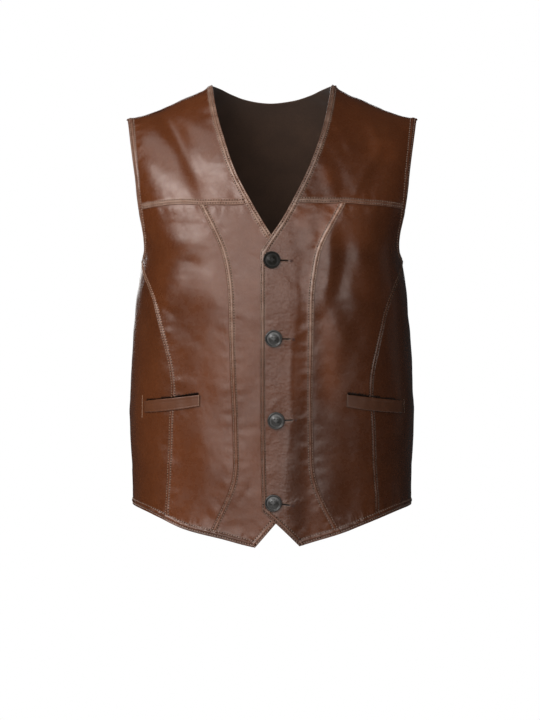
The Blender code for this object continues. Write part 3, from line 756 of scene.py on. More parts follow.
def leather_material(name, deep, mid, rubbed, rough):
    m, tree, b = nodes_of(name)
    g = Graph(tree)
    cloud = g.noise(9.0, 4.0, 0.55)
    patch = g.noise(42.0, 4.0, 0.6)
    fleck = g.noise(330.0, 3.0, 0.6)
    colour = g.mix(g.ranged(cloud, 0.34, 0.66, 0.0, 1.0), deep, mid)
    colour = g.mix(g.ranged(patch, 0.45, 0.80, 0.0, 0.35), colour, rubbed)
    colour = g.mix(g.ranged(fleck, 0.40, 0.70, 0.0, 0.25), colour, deep)
    # painted shade in the stitched channels; the ridges lighter, partly rubbed leather and partly
    # painted highlight
    groove_shade = g.ranged(g.value("groove_shade"), 0.12, 0.62, 0.0, 0.64)
    colour = g.mix(groove_shade, colour, (deep[0] * 0.32, deep[1] * 0.32, deep[2] * 0.32))
    ridge = g.ranged(g.value("ridge"), 0.15, 0.90, 0.0, 0.80)
    colour = g.mix(g.math("MULTIPLY", ridge, g.ranged(patch, 0.35, 0.6, 0.55, 1.0)),
                   colour, RIDGE_RUB_AND_HIGHLIGHT)
    # darker within half a millimetre of each edge and seam: partly a darker cut edge, partly painted
    # shade in the seam lines
    edge = g.ranged(g.value("near_edge"), 0.0, 0.5, 0.22, 0.0)
    colour = g.mix(edge, colour, (deep[0] * 0.45, deep[1] * 0.42, deep[2] * 0.42))
    # times the piece's tone, which also holds painted shade
    colour = g.mix(1.0, colour, g.value("tone_and_shade"), "MULTIPLY")
    g.link(colour, b.inputs["Base Color"])
    r = g.ranged(g.noise(120.0, 4.0, 0.6), 0.3, 0.7, rough - 0.04, rough + 0.05)
    r = g.math("ADD", r, g.ranged(groove_shade, 0.0, 0.72, 0.0, 0.18))
    g.link(r, b.inputs["Roughness"])
    b.inputs["Specular IOR Level"].default_value = 0.74
    b.inputs["Specular Tint"].default_value = (1.0, 0.91, 0.87, 1.0)
    b.inputs["Coat Weight"].default_value = 0.05
    b.inputs["Coat Roughness"].default_value = 0.22
    # grain: pores, cells and the fine creasing of worn nappa
    normal = g.bump(g.noise(110.0, 3.0, 0.5), 0.00016)
    crease = g.math("MULTIPLY", g.noise(180.0, 4.0, 0.62, stretch=(1.0, 1.0, 1.5)),
                    g.value("crinkle"))
    normal = g.bump(crease, 0.00075, base=normal)
    normal = g.bump(g.voronoi(620.0, "DISTANCE_TO_EDGE"), 0.00006, base=normal)
    normal = g.bump(g.noise(1500.0, 2.0, 0.6), 0.00003, base=normal)
    g.link(normal, b.inputs["Normal"])
    return m


def flesh_material():
    m, tree, b = nodes_of("leather_inside")
    g = Graph(tree)
    nap = g.noise(700.0, 4.0, 0.7)
    cloud = g.noise(30.0, 3.0, 0.5)
    colour = g.mix(g.ranged(cloud, 0.3, 0.7, 0.0, 1.0), (0.060, 0.030, 0.017),
                   (0.085, 0.043, 0.025))
    colour = g.mix(g.ranged(nap, 0.35, 0.65, 0.0, 0.6), colour, (0.045, 0.022, 0.012))
    g.link(colour, b.inputs["Base Color"])
    b.inputs["Roughness"].default_value = 0.92
    b.inputs["Sheen Weight"].default_value = 0.25
    g.link(g.bump(nap, 0.00018), b.inputs["Normal"])
    return m


def thread_material(name, light, dark, rough=0.6):
    m, tree, b = nodes_of(name)
    g = Graph(tree)
    ply = g.noise(1600.0, 2.0, 0.5)
    colour = g.mix(g.ranged(ply, 0.35, 0.65, 0.0, 1.0), dark, light)
    # times the tone, which also holds painted shade
    g.link(g.mix(1.0, colour, g.value("tone_and_shade"), "MULTIPLY"), b.inputs["Base Color"])
    b.inputs["Roughness"].default_value = rough
    b.inputs["Sheen Weight"].default_value = 0.15
    g.link(g.bump(ply, 0.00012), b.inputs["Normal"])
    return m


# near-black for needle holes and cut holes: painted shade inside them
def hole_shade_material():
    m, tree, b = nodes_of("needle_hole_shade")
    g = Graph(tree)
    g.link(g.mix(g.ranged(g.noise(500.0), 0.3, 0.7, 0.0, 1.0), (0.010, 0.005, 0.003),
                 (0.020, 0.009, 0.005)), b.inputs["Base Color"])
    b.inputs["Roughness"].default_value = 0.9
    b.inputs["Specular IOR Level"].default_value = 0.1
    return m


def horn_material(name, low, high, level):
    m, tree, b = nodes_of(name)
    g = Graph(tree)
    swirl = g.noise(240.0, 4.0, 0.6, stretch=(1.0, 1.0, 2.6))
    dust = g.noise(1800.0, 2.0, 0.5)
    colour = g.mix(g.ranged(swirl, 0.35, 0.68, 0.0, 1.0), low, high)
    g.link(colour, b.inputs["Base Color"])
    g.link(g.ranged(dust, 0.3, 0.7, 0.22, 0.34), b.inputs["Roughness"])
    b.inputs["Specular IOR Level"].default_value = level
    g.link(g.bump(g.noise(900.0, 3.0, 0.5), 0.00002), b.inputs["Normal"])
    return m


DEEP, MID, RUBBED = (0.128, 0.034, 0.0092), (0.172, 0.048, 0.0140), (0.225, 0.070, 0.0220)
# lighter colour of the raised ridges: partly rubbed leather and thread, partly painted highlight
RIDGE_RUB_AND_HIGHLIGHT = (0.53, 0.355, 0.27)
nappa = leather_material("vest_leather", DEEP, MID, RUBBED, 0.27)
welt_leather = leather_material("welt_leather", (0.120, 0.038, 0.013),
                                (0.165, 0.054, 0.020), (0.220, 0.078, 0.030), 0.40)
flesh = flesh_material()
thread = thread_material("topstitch_thread", (0.70, 0.48, 0.37), (0.50, 0.31, 0.22))
side_thread = thread_material("side_seam_thread", (0.48, 0.30, 0.20), (0.32, 0.17, 0.10))
dark_thread = thread_material("button_thread", (0.030, 0.018, 0.012), (0.015, 0.009, 0.006))
purl_thread = thread_material("buttonhole_thread", (0.360, 0.205, 0.145),
                              (0.190, 0.090, 0.055))
tack_thread = thread_material("bar_tack_thread", (0.100, 0.030, 0.016),
                              (0.050, 0.014, 0.008))
needle = hole_shade_material()
horn = horn_material("horn_button", (0.017, 0.0158, 0.0140), (0.050, 0.0470, 0.0430), 0.90)
# a darker, duller copy of the horn for the top button: its darker colour is painted shade
dull_shaded_horn = horn_material("dull_shaded_horn_button", (0.010, 0.0090, 0.0075),
                          (0.024, 0.0220, 0.0185), 0.15)


# ------------------------------------------------------------------ panels
def along(run, t):
    p = np.linspace(0, 1, len(run))
    return np.stack([np.interp(t, p, run[:, 0]), np.interp(t, p, run[:, 1])], -1)


def coons(low, high, left, right, u, v):
    """Points between four edges, at any u, v."""
    u_, v_ = u[..., None], v[..., None]
    c = low[0], low[-1], high[0], high[-1]
    return ((1 - v_) * along(low, u) + v_ * along(high, u)
            + (1 - u_) * along(left, v) + u_ * along(right, v)
            - ((1 - u_) * (1 - v_) * c[0] + u_ * (1 - v_) * c[1]
               + (1 - u_) * v_ * c[2] + u_ * v_ * c[3]))


def stations(length, breaks, usual):
    """Places along each line of a family, close together near both ends. Their
    number comes from the family's usual length."""
    length = np.asarray(length, float)
    tight = np.minimum(1.0, 0.40 * length / NEAR[-1])
    near = NEAR[None] * (tight / length)[:, None]
    stops = [near[:, -1]] + [np.full(len(length), b) for b in breaks] + [1 - near[:, -1]]
    least = NEAR[-1] * min(1.0, 0.40 * usual / NEAR[-1]) / usual
    marks = [least] + list(breaks) + [1 - least]
    parts = [near]
    for a, b, low, high in zip(stops, stops[1:], marks, marks[1:]):
        n = max(2, int(round(usual * (high - low) / STEP)))
        f = np.linspace(0, 1, n + 1)[1:]
        parts.append(a[:, None] + (b - a)[:, None] * f)
    return np.concatenate(parts + [1 - near[:, -2::-1]], 1)


def fine_grid(low, high, left, right, breaks_u=(), breaks_v=(), correction=None):
    """(angle, rise) of a panel's grid, its lines close along every edge."""
    def place(u, v):
        g = coons(low, high, left, right, u, v)
        if correction is not None:
            rows, cols = correction.shape[:2]
            fu, fv = u * (cols - 1), v * (rows - 1)
            i = np.clip(fv.astype(int), 0, rows - 2)
            j = np.clip(fu.astype(int), 0, cols - 2)
            a, b = (fu - j)[..., None], (fv - i)[..., None]
            g = g + ((1 - b) * ((1 - a) * correction[i, j] + a * correction[i, j + 1])
                     + b * ((1 - a) * correction[i + 1, j] + a * correction[i + 1, j + 1]))
        return g
    t = np.linspace(0, 1, 41)
    uu, vv = np.meshgrid(t, t)
    g = place(uu, vv)
    q = torso(g[..., 0], g[..., 1])
    wide = np.linalg.norm(np.diff(q, axis=1), axis=-1).sum(1)
    tall = np.linalg.norm(np.diff(q, axis=0), axis=-1).sum(0)
    u0 = stations(np.array([wide.mean()]), breaks_u, wide.mean())[0]
    v = stations(np.interp(u0, t, tall), breaks_v, tall.mean()).T
    u = np.stack([stations(np.interp(v[:, j], t, wide), breaks_u, wide.mean())[:, j]
                  for j in range(len(u0))], 1)
    return place(u, v)


# Patches lighter (+) or darker on the front, partly wax marks in the leather and partly painted light
# and shade: x0, y0, x1, y1, half width, share
WAX_AND_PAINTED_LIGHT = (
    (324, 310, 330, 400, 11.0, 0.80), (350, 200, 350, 246, 24.0, 0.75),
    (322, 236, 322, 300, 8.0, 0.45), (302, 404, 300, 548, 13.0, -0.48),
    (318, 430, 326, 540, 12.0, -0.15), (184, 290, 188, 430, 16.0, -0.14),
    (352, 262, 366, 300, 12.0, 0.25), (384, 140, 384, 160, 14.0, 0.30),
    (150, 310, 156, 360, 16.0, -0.08), (160, 527, 240, 541, 4.0, -0.45), (302, 210, 302, 228, 8.0, 0.30),
    (323, 166, 327, 186, 6.0, 0.45),
)


# 1 on the chest, down to 0.42 below the waist: lowers the front seam's padding and scales painted
# highlight and shade
def fade_downwards(p):
    return 0.42 + 0.58 * ease(-395.0, -285.0, p[..., 2])


# 1 at the centre, down to 0.5 towards the wearer's left: lowers the panel seams and scales painted
# highlight
def fade_to_left(p):
    return 1 - 0.50 * ease(20.0, 150.0, p[..., 0])


def shade_at(angle, p):
    px, py = seen_at(p)
    round_to = np.abs(np.where(angle > 180, 360 - angle, angle))
    total = np.ones(p.shape[:-1])
    for x0, y0, x1, y1, width, share in WAX_AND_PAINTED_LIGHT:
        total += share * bar(px, py, x0, y0, x1, y1, width) * (1 - ease(66, 84, round_to))
    return total


# each piece's tone differs a bit, as cut from another part of the hide; the pieces on the wearer's left
# are much darker as painted shade
PANEL_TONE_AND_SHADE = {
    "yoke_right": 1.04, "center_right": 0.96, "side_front_right": 1.02,
    "side_panel_right": 0.84, "yoke_left": 0.62, "center_left": 0.78,
    "side_front_left": 0.46, "side_panel_left": 0.38, "back_panel": 0.75,
}


class Panel:
    """One leather piece. edge_list: (line, kind) for every edge and seam."""

    def __init__(self, name, edge_list, lift=None, flat_under=False, wall=WALL):
        self.name, self.edge_list, self.tone_and_shade = name, edge_list, PANEL_TONE_AND_SHADE[name]
        self.lift, self.flat_under, self.wall = lift, flat_under, wall

    def heights(self, angle, rise, seed_shift=0):
        """(outer, inner, groove, ridge, edge) of flat lists of places."""
        p = torso(angle, rise)
        n = len(p)
        up, ridge_up = np.zeros(n), np.zeros(n)
        down, pucker, rub_and_highlight = np.zeros(n), np.zeros(n), np.zeros(n)
        outer_round, inner_round = np.zeros(n), np.zeros(n)
        edge_near = np.full(n, 99.0)
        measured = {}
        for number, (ln, kind) in enumerate(self.edge_list):
            measured[number] = ln.measure(p)
        free_gap = np.full(n, 99.0)
        downward_fade = fade_downwards(p)
        for number, (ln, kind) in enumerate(self.edge_list):
            if kind in ("neck", "lap", "cutaway", "hem", "armhole"):
                d = measured[number][0]
                free_gap = np.minimum(free_gap, d - KINDS[kind][1])
        for number, (ln, kind) in enumerate(self.edge_list):
            d, s = measured[number]
            seed = sum(map(ord, ln.kind)) + (1 if ln.run[len(ln.run) // 2][0] > 0 else 0)
            if kind in KINDS:
                r1, r2, rad, plateau, ridge = KINDS[kind]
                live = 1.0
                if kind.endswith("_over"):
                    live = ease(-1.5, 1.0, free_gap)
                if kind == "front_seam_over":
                    plateau = plateau * (0.35 + 0.65 * downward_fade)
                if kind == "panel_seam_over":
                    plateau = plateau * fade_to_left(p)
                    ridge = ridge * fade_to_left(p)
                wob = uneven(s, seed, 13.0)
                fine = uneven(s, seed + 40, 5.2)
                up = np.maximum(up, plateau * (1 - ease(r2 - 0.2, r2 + 2.6, d)) * (
                    0.4 + 0.6 * live))
                mid = (r1 + r2) / 2
                r = ridge * live * hump(d, mid, (r2 - r1) / 2.6) * (1 + 0.25 * wob)
                r = r + 0.35 * ridge * live * hump(d, r1 * 0.45, r1 * 0.5)
                ridge_up = np.maximum(ridge_up, r)
                # how much lighter this edge's ridges are painted: a little random rubbing, less on panel
                # seams, armholes and hem; partly painted highlight
                rub_and_light = 0.85 + 0.15 * wob
                if kind in ("panel_seam_over", "armhole", "hem"):
                    rub_and_light = rub_and_light * (0.45 if kind == "panel_seam_over" else 0.60)
                rub_and_highlight = np.maximum(rub_and_highlight, live * rub_and_light * np.maximum.reduce([
                    hump(d, mid, (r2 - r1) / 2.3), 0.8 * hump(d, r1 * 0.35, r1 * 0.75),
                    0.45 * hump(d, r2 + 1.5, 1.3)]))
                g = (hump(d, r1, 0.95) + hump(d, r2, 1.05)) * live
                down = np.maximum(down, g * (0.62 + 0.12 * fine))
                # the leather draws up beside the rows
                pucker = pucker + live * 0.16 * fine * np.exp(-((d - r2 - 1.5) / 4.5) ** 2)
                pucker = pucker + live * 0.13 * uneven(s, seed + 80, 8.0) * np.exp(
                    -((d - mid) / 3.0) ** 2)
                pucker = pucker + 0.20 * live * uneven(s, seed + 7, 17.0) * np.exp(
                    -((d - r2 - 5.0) / 7.0) ** 2)
                inner_r = 0.45 if kind.endswith("_over") else rad - 0.2
            else:
                dip = UNDER[kind]
                rad, inner_r = 0.45, 0.40
                down = np.maximum(down, dip * np.exp(-(d / 3.2) ** 2))
                pucker = pucker + 0.06 * uneven(s, seed + 120, 9.0) * np.exp(
                    -((d - 3.0) / 4.0) ** 2)
                pucker = pucker + 0.13 * uneven(s, seed + 3, 21.0) * np.exp(
                    -((d - 7.0) / 7.0) ** 2)
            q = np.clip(rad - d, 0, rad)
            outer_round = np.maximum(outer_round, rad - np.sqrt(rad**2 - q**2))
            q = np.clip(inner_r - d, 0, inner_r)
            inner_round = np.maximum(inner_round, inner_r - np.sqrt(inner_r**2 - q**2))
            edge_near = np.minimum(edge_near, d)
        # ridges painted lighter, partly rubbed leather and partly painted highlight: strongest on the
        # chest, less further down and towards the wearer's left
        rub_and_highlight = rub_and_highlight * downward_fade * fade_to_left(p)
        if self.lift is not None:
            for z0, x0, slope in BUTTONS:
                c, s_ = math.cos(math.radians(slope)), math.sin(math.radians(slope))
                u = c * (p[:, 0] - x0) + s_ * (p[:, 2] - z0)
                v = -s_ * (p[:, 0] - x0) + c * (p[:, 2] - z0)
                over = ease(8.0, 11.0, u) * (1 - ease(22.0, 27.0, u + 0.8 * np.abs(v)))
                # the buttonhole lips, raised and painted lighter as a highlight
                lip = (hump(v, 2.9, 1.2) + hump(v, -3.3, 1.3)) * over
                ridge_up = ridge_up + 0.55 * lip
                rub_and_highlight = np.maximum(rub_and_highlight, 0.62 * lip)
                # the pull between the shank and the hole draws it up in pleats
                pucker = pucker + over * 0.22 * np.sin(0.95 * v + 0.9) * np.exp(
                    -(v / 9.0) ** 2)
        relief = up + ridge_up - down + pucker
        if self.flat_under:
            # where the other front lies on it, it stays low
            over = edges["lap", 1].q
            at = np.interp(p[:, 2], over[::-1, 2], over[::-1, 0])
            hidden = ease(2.0, 7.0, p[:, 0] - at) * (p[:, 2] < -188)
            relief = relief * (1 - hidden) + np.minimum(relief, 0.15) * hidden
        body = folds(angle, rise, p)
        if self.lift is not None:
            body = body + self.lift(p)
        outer = body + relief - outer_round
        inner = body - self.wall + inner_round
        self.crinkle = 0.30 * np.exp(-(edge_near / 14.0) ** 2) + 0.12
        self.tone_and_shade_here = self.tone_and_shade * shade_at(angle, p)
        # the back lighter towards the wearer's right, darker towards the left: painted shade
        if self.name == "back_panel":
            self.tone_and_shade_here = self.tone_and_shade_here * (1.12 - 0.60 * ease(-60.0, 185.0, p[:, 0]))
        if self.lift is not None:
            x, z = p[:, 0], p[:, 2]
            strip = ease(31.0, 22.0, x)
            for z0, x0, _ in BUTTONS:
                strip = np.maximum(strip, np.exp(-((x - x0 - 24) / 16) ** 2
                                                 - ((z - z0) / 14) ** 2))
            self.crinkle = np.maximum(self.crinkle, 0.9 * strip)
        return p, outer, inner, down, rub_and_highlight, edge_near

    def place(self, angle, rise, off=0.0):
        """Points on the finished outer face, mm, and their way out."""
        p, outer, *_ = self.heights(angle, rise)
        n = torso_normal(angle, rise)
        return p + n * (outer + off)[:, None], n

    def build(self, grid):
        rows, cols = grid.shape[:2]
        angle, rise = grid[..., 0].ravel(), grid[..., 1].ravel()
        p, outer, inner, groove_shade, ridge, near = self.heights(angle, rise)
        normal = torso_normal(angle, rise)
        verts = np.concatenate([p + normal * outer[:, None], p + normal * inner[:, None]])
        q = p.reshape(rows, cols, 3) / 1000
        wide = np.linalg.norm(np.diff(q, axis=1), axis=-1).sum(1)
        tall = np.linalg.norm(np.diff(q, axis=0), axis=-1).sum(0)
        self.cut_size = float(wide.max()), float(tall.max())
        index = np.arange(rows * cols).reshape(rows, cols)
        a, b = index[:-1, :-1].ravel(), index[:-1, 1:].ravel()
        c, d = index[1:, 1:].ravel(), index[1:, :-1].ravel()
        n = rows * cols
        border = np.concatenate([index[0], index[1:, -1], index[-1, -2::-1],
                                 index[-2:0:-1, 0]])
        ring = np.roll(border, -1)
        faces = np.concatenate([
            np.stack([a, b, c, d], 1), np.stack([d + n, c + n, b + n, a + n], 1),
            np.stack([ring, border, border + n, ring + n], 1)])
        inside = np.zeros(len(faces), int)
        inside[len(a): 2 * len(a)] = 1
        ob = make_mesh(self.name, to_metres(verts), faces, inside, (nappa, flesh))
        both = np.concatenate
        zero = np.zeros(n)
        add_values(ob.data, "groove_shade", both([groove_shade, zero]))
        add_values(ob.data, "ridge", both([ridge, zero]))
        add_values(ob.data, "near_edge", both([near, near]))
        add_values(ob.data, "crinkle", both([self.crinkle, zero]))
        add_values(ob.data, "tone_and_shade", both([self.tone_and_shade_here, self.tone_and_shade_here]))
        self.ob = ob
        return ob


def to_metres(points):
    return (points - ORIGIN) / 1000.0


def make_mesh(name, verts, faces, slots, finish):
    mesh = bpy.data.meshes.new(name)
    for material in finish:
        mesh.materials.append(material)
    mesh.from_pydata(verts.tolist(), [], [f.tolist() if hasattr(f, "tolist") else f
                                          for f in faces])
    bm = bmesh.new()
    bm.from_mesh(mesh)
    if bm.calc_volume(signed=True) < 0:
        bmesh.ops.reverse_faces(bm, faces=bm.faces)
    bm.to_mesh(mesh)
    bm.free()
    mesh.polygons.foreach_set("material_index", np.asarray(slots, np.int32))
    mesh.shade_smooth()
    ob = bpy.data.objects.new(name, mesh)
    bpy.context.scene.collection.objects.link(ob)
    return ob


def add_values(mesh, name, values):
    layer = mesh.attributes.new(name, "FLOAT", "POINT")
    layer.data.foreach_set("value", np.asarray(values, np.float32))


def lap_lift(points):
    """How far the left front is lifted where it lies on the right one."""
    x, z = points[..., 0], points[..., 2]
    return (LAP_LIFT * (1 - ease(LAP_FLAT_X, LAP_END_X, x))
            * ease(-146.0, -172.0, z))


panels = {}
for s, side_name in ((-1, "right"), (1, "left")):
    L = line[s]
    hem, neck, arm = edges["hem", s], edges["neck", s], edges["armhole", s]
    front_seam, yoke = edges["front_seam", s], edges["yoke", s]
    panel_seam = edges["panel_seam", s]

    p = Panel("yoke_" + side_name, [(neck, "neck"), (arm, "armhole"),
                                    (yoke, "yoke_over"), (edges["shoulder", s], "plain")])
    p.build(fine_grid(chain(L.yoke_in, L.yoke_out), L.shoulder,
                      L.neck_yoke[::-1], L.arm_yoke, breaks_u=(0.4,)))
    panels["front_yoke_" + side_name] = p

    inner_edge = chain(L.neck_low, L.edge, L.cut)
    p = Panel("center_" + side_name,
              [(neck, "neck"), (edges["lap", s], "lap"), (edges["cutaway", s], "cutaway"),
               (hem, "hem"), (front_seam, "front_seam_over"), (yoke, "yoke_under")],
              lift=lap_lift if s > 0 else None, flat_under=s < 0)
    p.build(fine_grid(L.hem_in, L.yoke_in, inner_edge[::-1], L.front_seam[::-1],
                      breaks_v=(3 / 27, 22 / 27)))
    panels["front_center_" + side_name] = p

    p = Panel("side_front_" + side_name,
              [(hem, "hem"), (arm, "armhole"), (front_seam, "front_seam_under"),
               (yoke, "yoke_under"), (panel_seam, "panel_seam_over")])
    p.build(fine_grid(L.hem_mid, L.yoke_out, L.front_seam[::-1],
                      chain(L.arm_side[::-1], L.panel_seam)[::-1], breaks_v=(20 / 28,)))
    panels["front_side_" + side_name] = p

    p = Panel("side_panel_" + side_name,
              [(hem, "hem"), (arm, "armhole"), (panel_seam, "panel_seam_under"),
               (edges["side_seam", s], "plain")])
    p.build(fine_grid(L.hem_out, L.under, L.panel_seam[::-1], L.side_seam[::-1]))
    panels["side_" + side_name] = p

c_hem, c_top, c_flank, _, _, _ = back_edges(1)
coarse = fill(c_hem, c_top, c_flank * mirror, c_flank)
correction = relax(coarse) - coarse
grid = fine_grid(b_hem, b_top, b_flank * mirror, b_flank, breaks_u=(5 / 26, 21 / 26),
                 breaks_v=(12 / 26,), correction=correction)
grid[..., 0] = 180.0 - grid[..., 0]
p = Panel("back_panel", [(edges["hem", 0], "hem"), (edges["neck", 0], "neck"),
                         (edges["back_arm", 1], "armhole"),
                         (edges["back_arm", -1], "armhole"),
                         (edges["side_seam", 1], "plain"), (edges["side_seam", -1], "plain"),
                         (edges["back_shoulder", 1], "plain"),
                         (edges["back_shoulder", -1], "plain")])
p.build(grid)
panels["back"] = p


# ------------------------------------------------------------ pocket welts
TACKS = {"right": (-397.6, -428.0), "left": (-403.0, -421.5)}   # outer tack: heights


def welt_places(side_name, u, v):
    sign, x_in, x_out, top_in, top_out, low_in, low_out = WELTS[side_name]
    places = []
    for a, b in zip(u.ravel(), v.ravel()):
        x = x_in + (x_out - x_in) * a
        z = (1 - b) * (low_in + (low_out - low_in) * a) + b * (top_in + (top_out - top_in) * a)
        z += b * (1.5 * a - 0.8)             # the mouth gapes at its inner end
        z -= (1 - b) * 5.6 * a * (1 - a)     # the lower edge sags
        places.append(on_front(sign * x, z))
    places = np.array(places)
    return places[:, 0], places[:, 1]


WELT_LONG, WELT_TALL = 75.5, 15.5


def welt_heights(side_name, u, v):
    """Outer and inner face of a welt over the torso, mm."""
    angle, rise = welt_places(side_name, u, v)
    p = torso(angle, rise)
    u, v = u.ravel(), v.ravel()
    du = np.minimum(u, 1 - u) * WELT_LONG
    low, top = v * WELT_TALL, (1 - v) * WELT_TALL
    d = np.minimum(np.minimum(du, low), top)
    seed = 300 if side_name == "right" else 310
    stand = WELT_WALL + 0.35 + 0.9 * v**2 + 0.35 * ease(0.75, 0.0, u) * v**3
    puff = 0.35 * ease(0, 5.0, top) * ease(0, 3.5, low)
    fold = 0.30 * hump(top, 1.6, 1.5) - 0.20 * hump(top, 3.9, 1.1)
    seam = 0.25 * hump(low, 1.1, 1.0) - 0.18 * hump(low, 2.4, 0.8)
    ends = -0.22 * hump(du, 1.3, 0.8)
    wob = 0.12 * uneven(u * WELT_LONG, seed, 15.0) * (0.3 + v)
    outer = stand + puff + fold + seam + ends + wob
    rad = 0.85
    q = np.clip(rad - d, 0, rad)
    outer = outer - (rad - np.sqrt(rad**2 - q**2))
    inner = stand - WELT_WALL
    body = folds(angle, rise, p)
    # painted shade at the welt's ends and in the dip under its folded top
    groove_shade = 0.5 * hump(du, 1.3, 0.8) + 0.4 * hump(top, 3.9, 1.1)
    return angle, rise, p, body + outer, body + inner, 0.5 * groove_shade, d


def welt(side_name):
    near = np.array((0, .15, .4, .75, 1.2, 1.8, 2.6, 3.5, 4.6, 6.0))
    u = np.concatenate([near / WELT_LONG, np.linspace(6, WELT_LONG - 6, 36)[1:-1] / WELT_LONG,
                        1 - near[::-1] / WELT_LONG])
    v = np.concatenate([near[:-1] / WELT_TALL, np.linspace(4.6, WELT_TALL - 4.6, 9)[1:-1]
                        / WELT_TALL, 1 - near[-2::-1] / WELT_TALL])
    uu, vv = np.meshgrid(u, v)
    angle, rise, p, outer, inner, groove_shade, d = welt_heights(side_name, uu, vv)
    n = torso_normal(angle, rise)
    verts = np.concatenate([p + n * outer[:, None], p + n * inner[:, None]])
    rows, cols = uu.shape
    index = np.arange(rows * cols).reshape(rows, cols)
    a, b = index[:-1, :-1].ravel(), index[:-1, 1:].ravel()
    c, e = index[1:, 1:].ravel(), index[1:, :-1].ravel()
    m = rows * cols
    border = np.concatenate([index[0], index[1:, -1], index[-1, -2::-1], index[-2:0:-1, 0]])
    ring_ = np.roll(border, -1)
    faces = np.concatenate([np.stack([a, b, c, e], 1), np.stack([e + m, c + m, b + m, a + m], 1),
                            np.stack([ring_, border, border + m, ring_ + m], 1)])
    slots = np.zeros(len(faces), int)
    slots[len(a): 2 * len(a)] = 1
    ob = make_mesh("welt_" + side_name, to_metres(verts), faces, slots,
                   (welt_leather, flesh))
    zero = np.zeros(m)
    add_values(ob.data, "groove_shade", np.concatenate([groove_shade, zero]))
    add_values(ob.data, "ridge", np.concatenate([zero, zero]))
    add_values(ob.data, "near_edge", np.concatenate([d + 0.45, d + 0.45]))
    add_values(ob.data, "crinkle", np.full(2 * m, 0.15))
    # the welt on the wearer's left is much darker: painted shade
    add_values(ob.data, "tone_and_shade", np.full(2 * m, 0.95 if side_name == "right" else 0.50))
    return ob


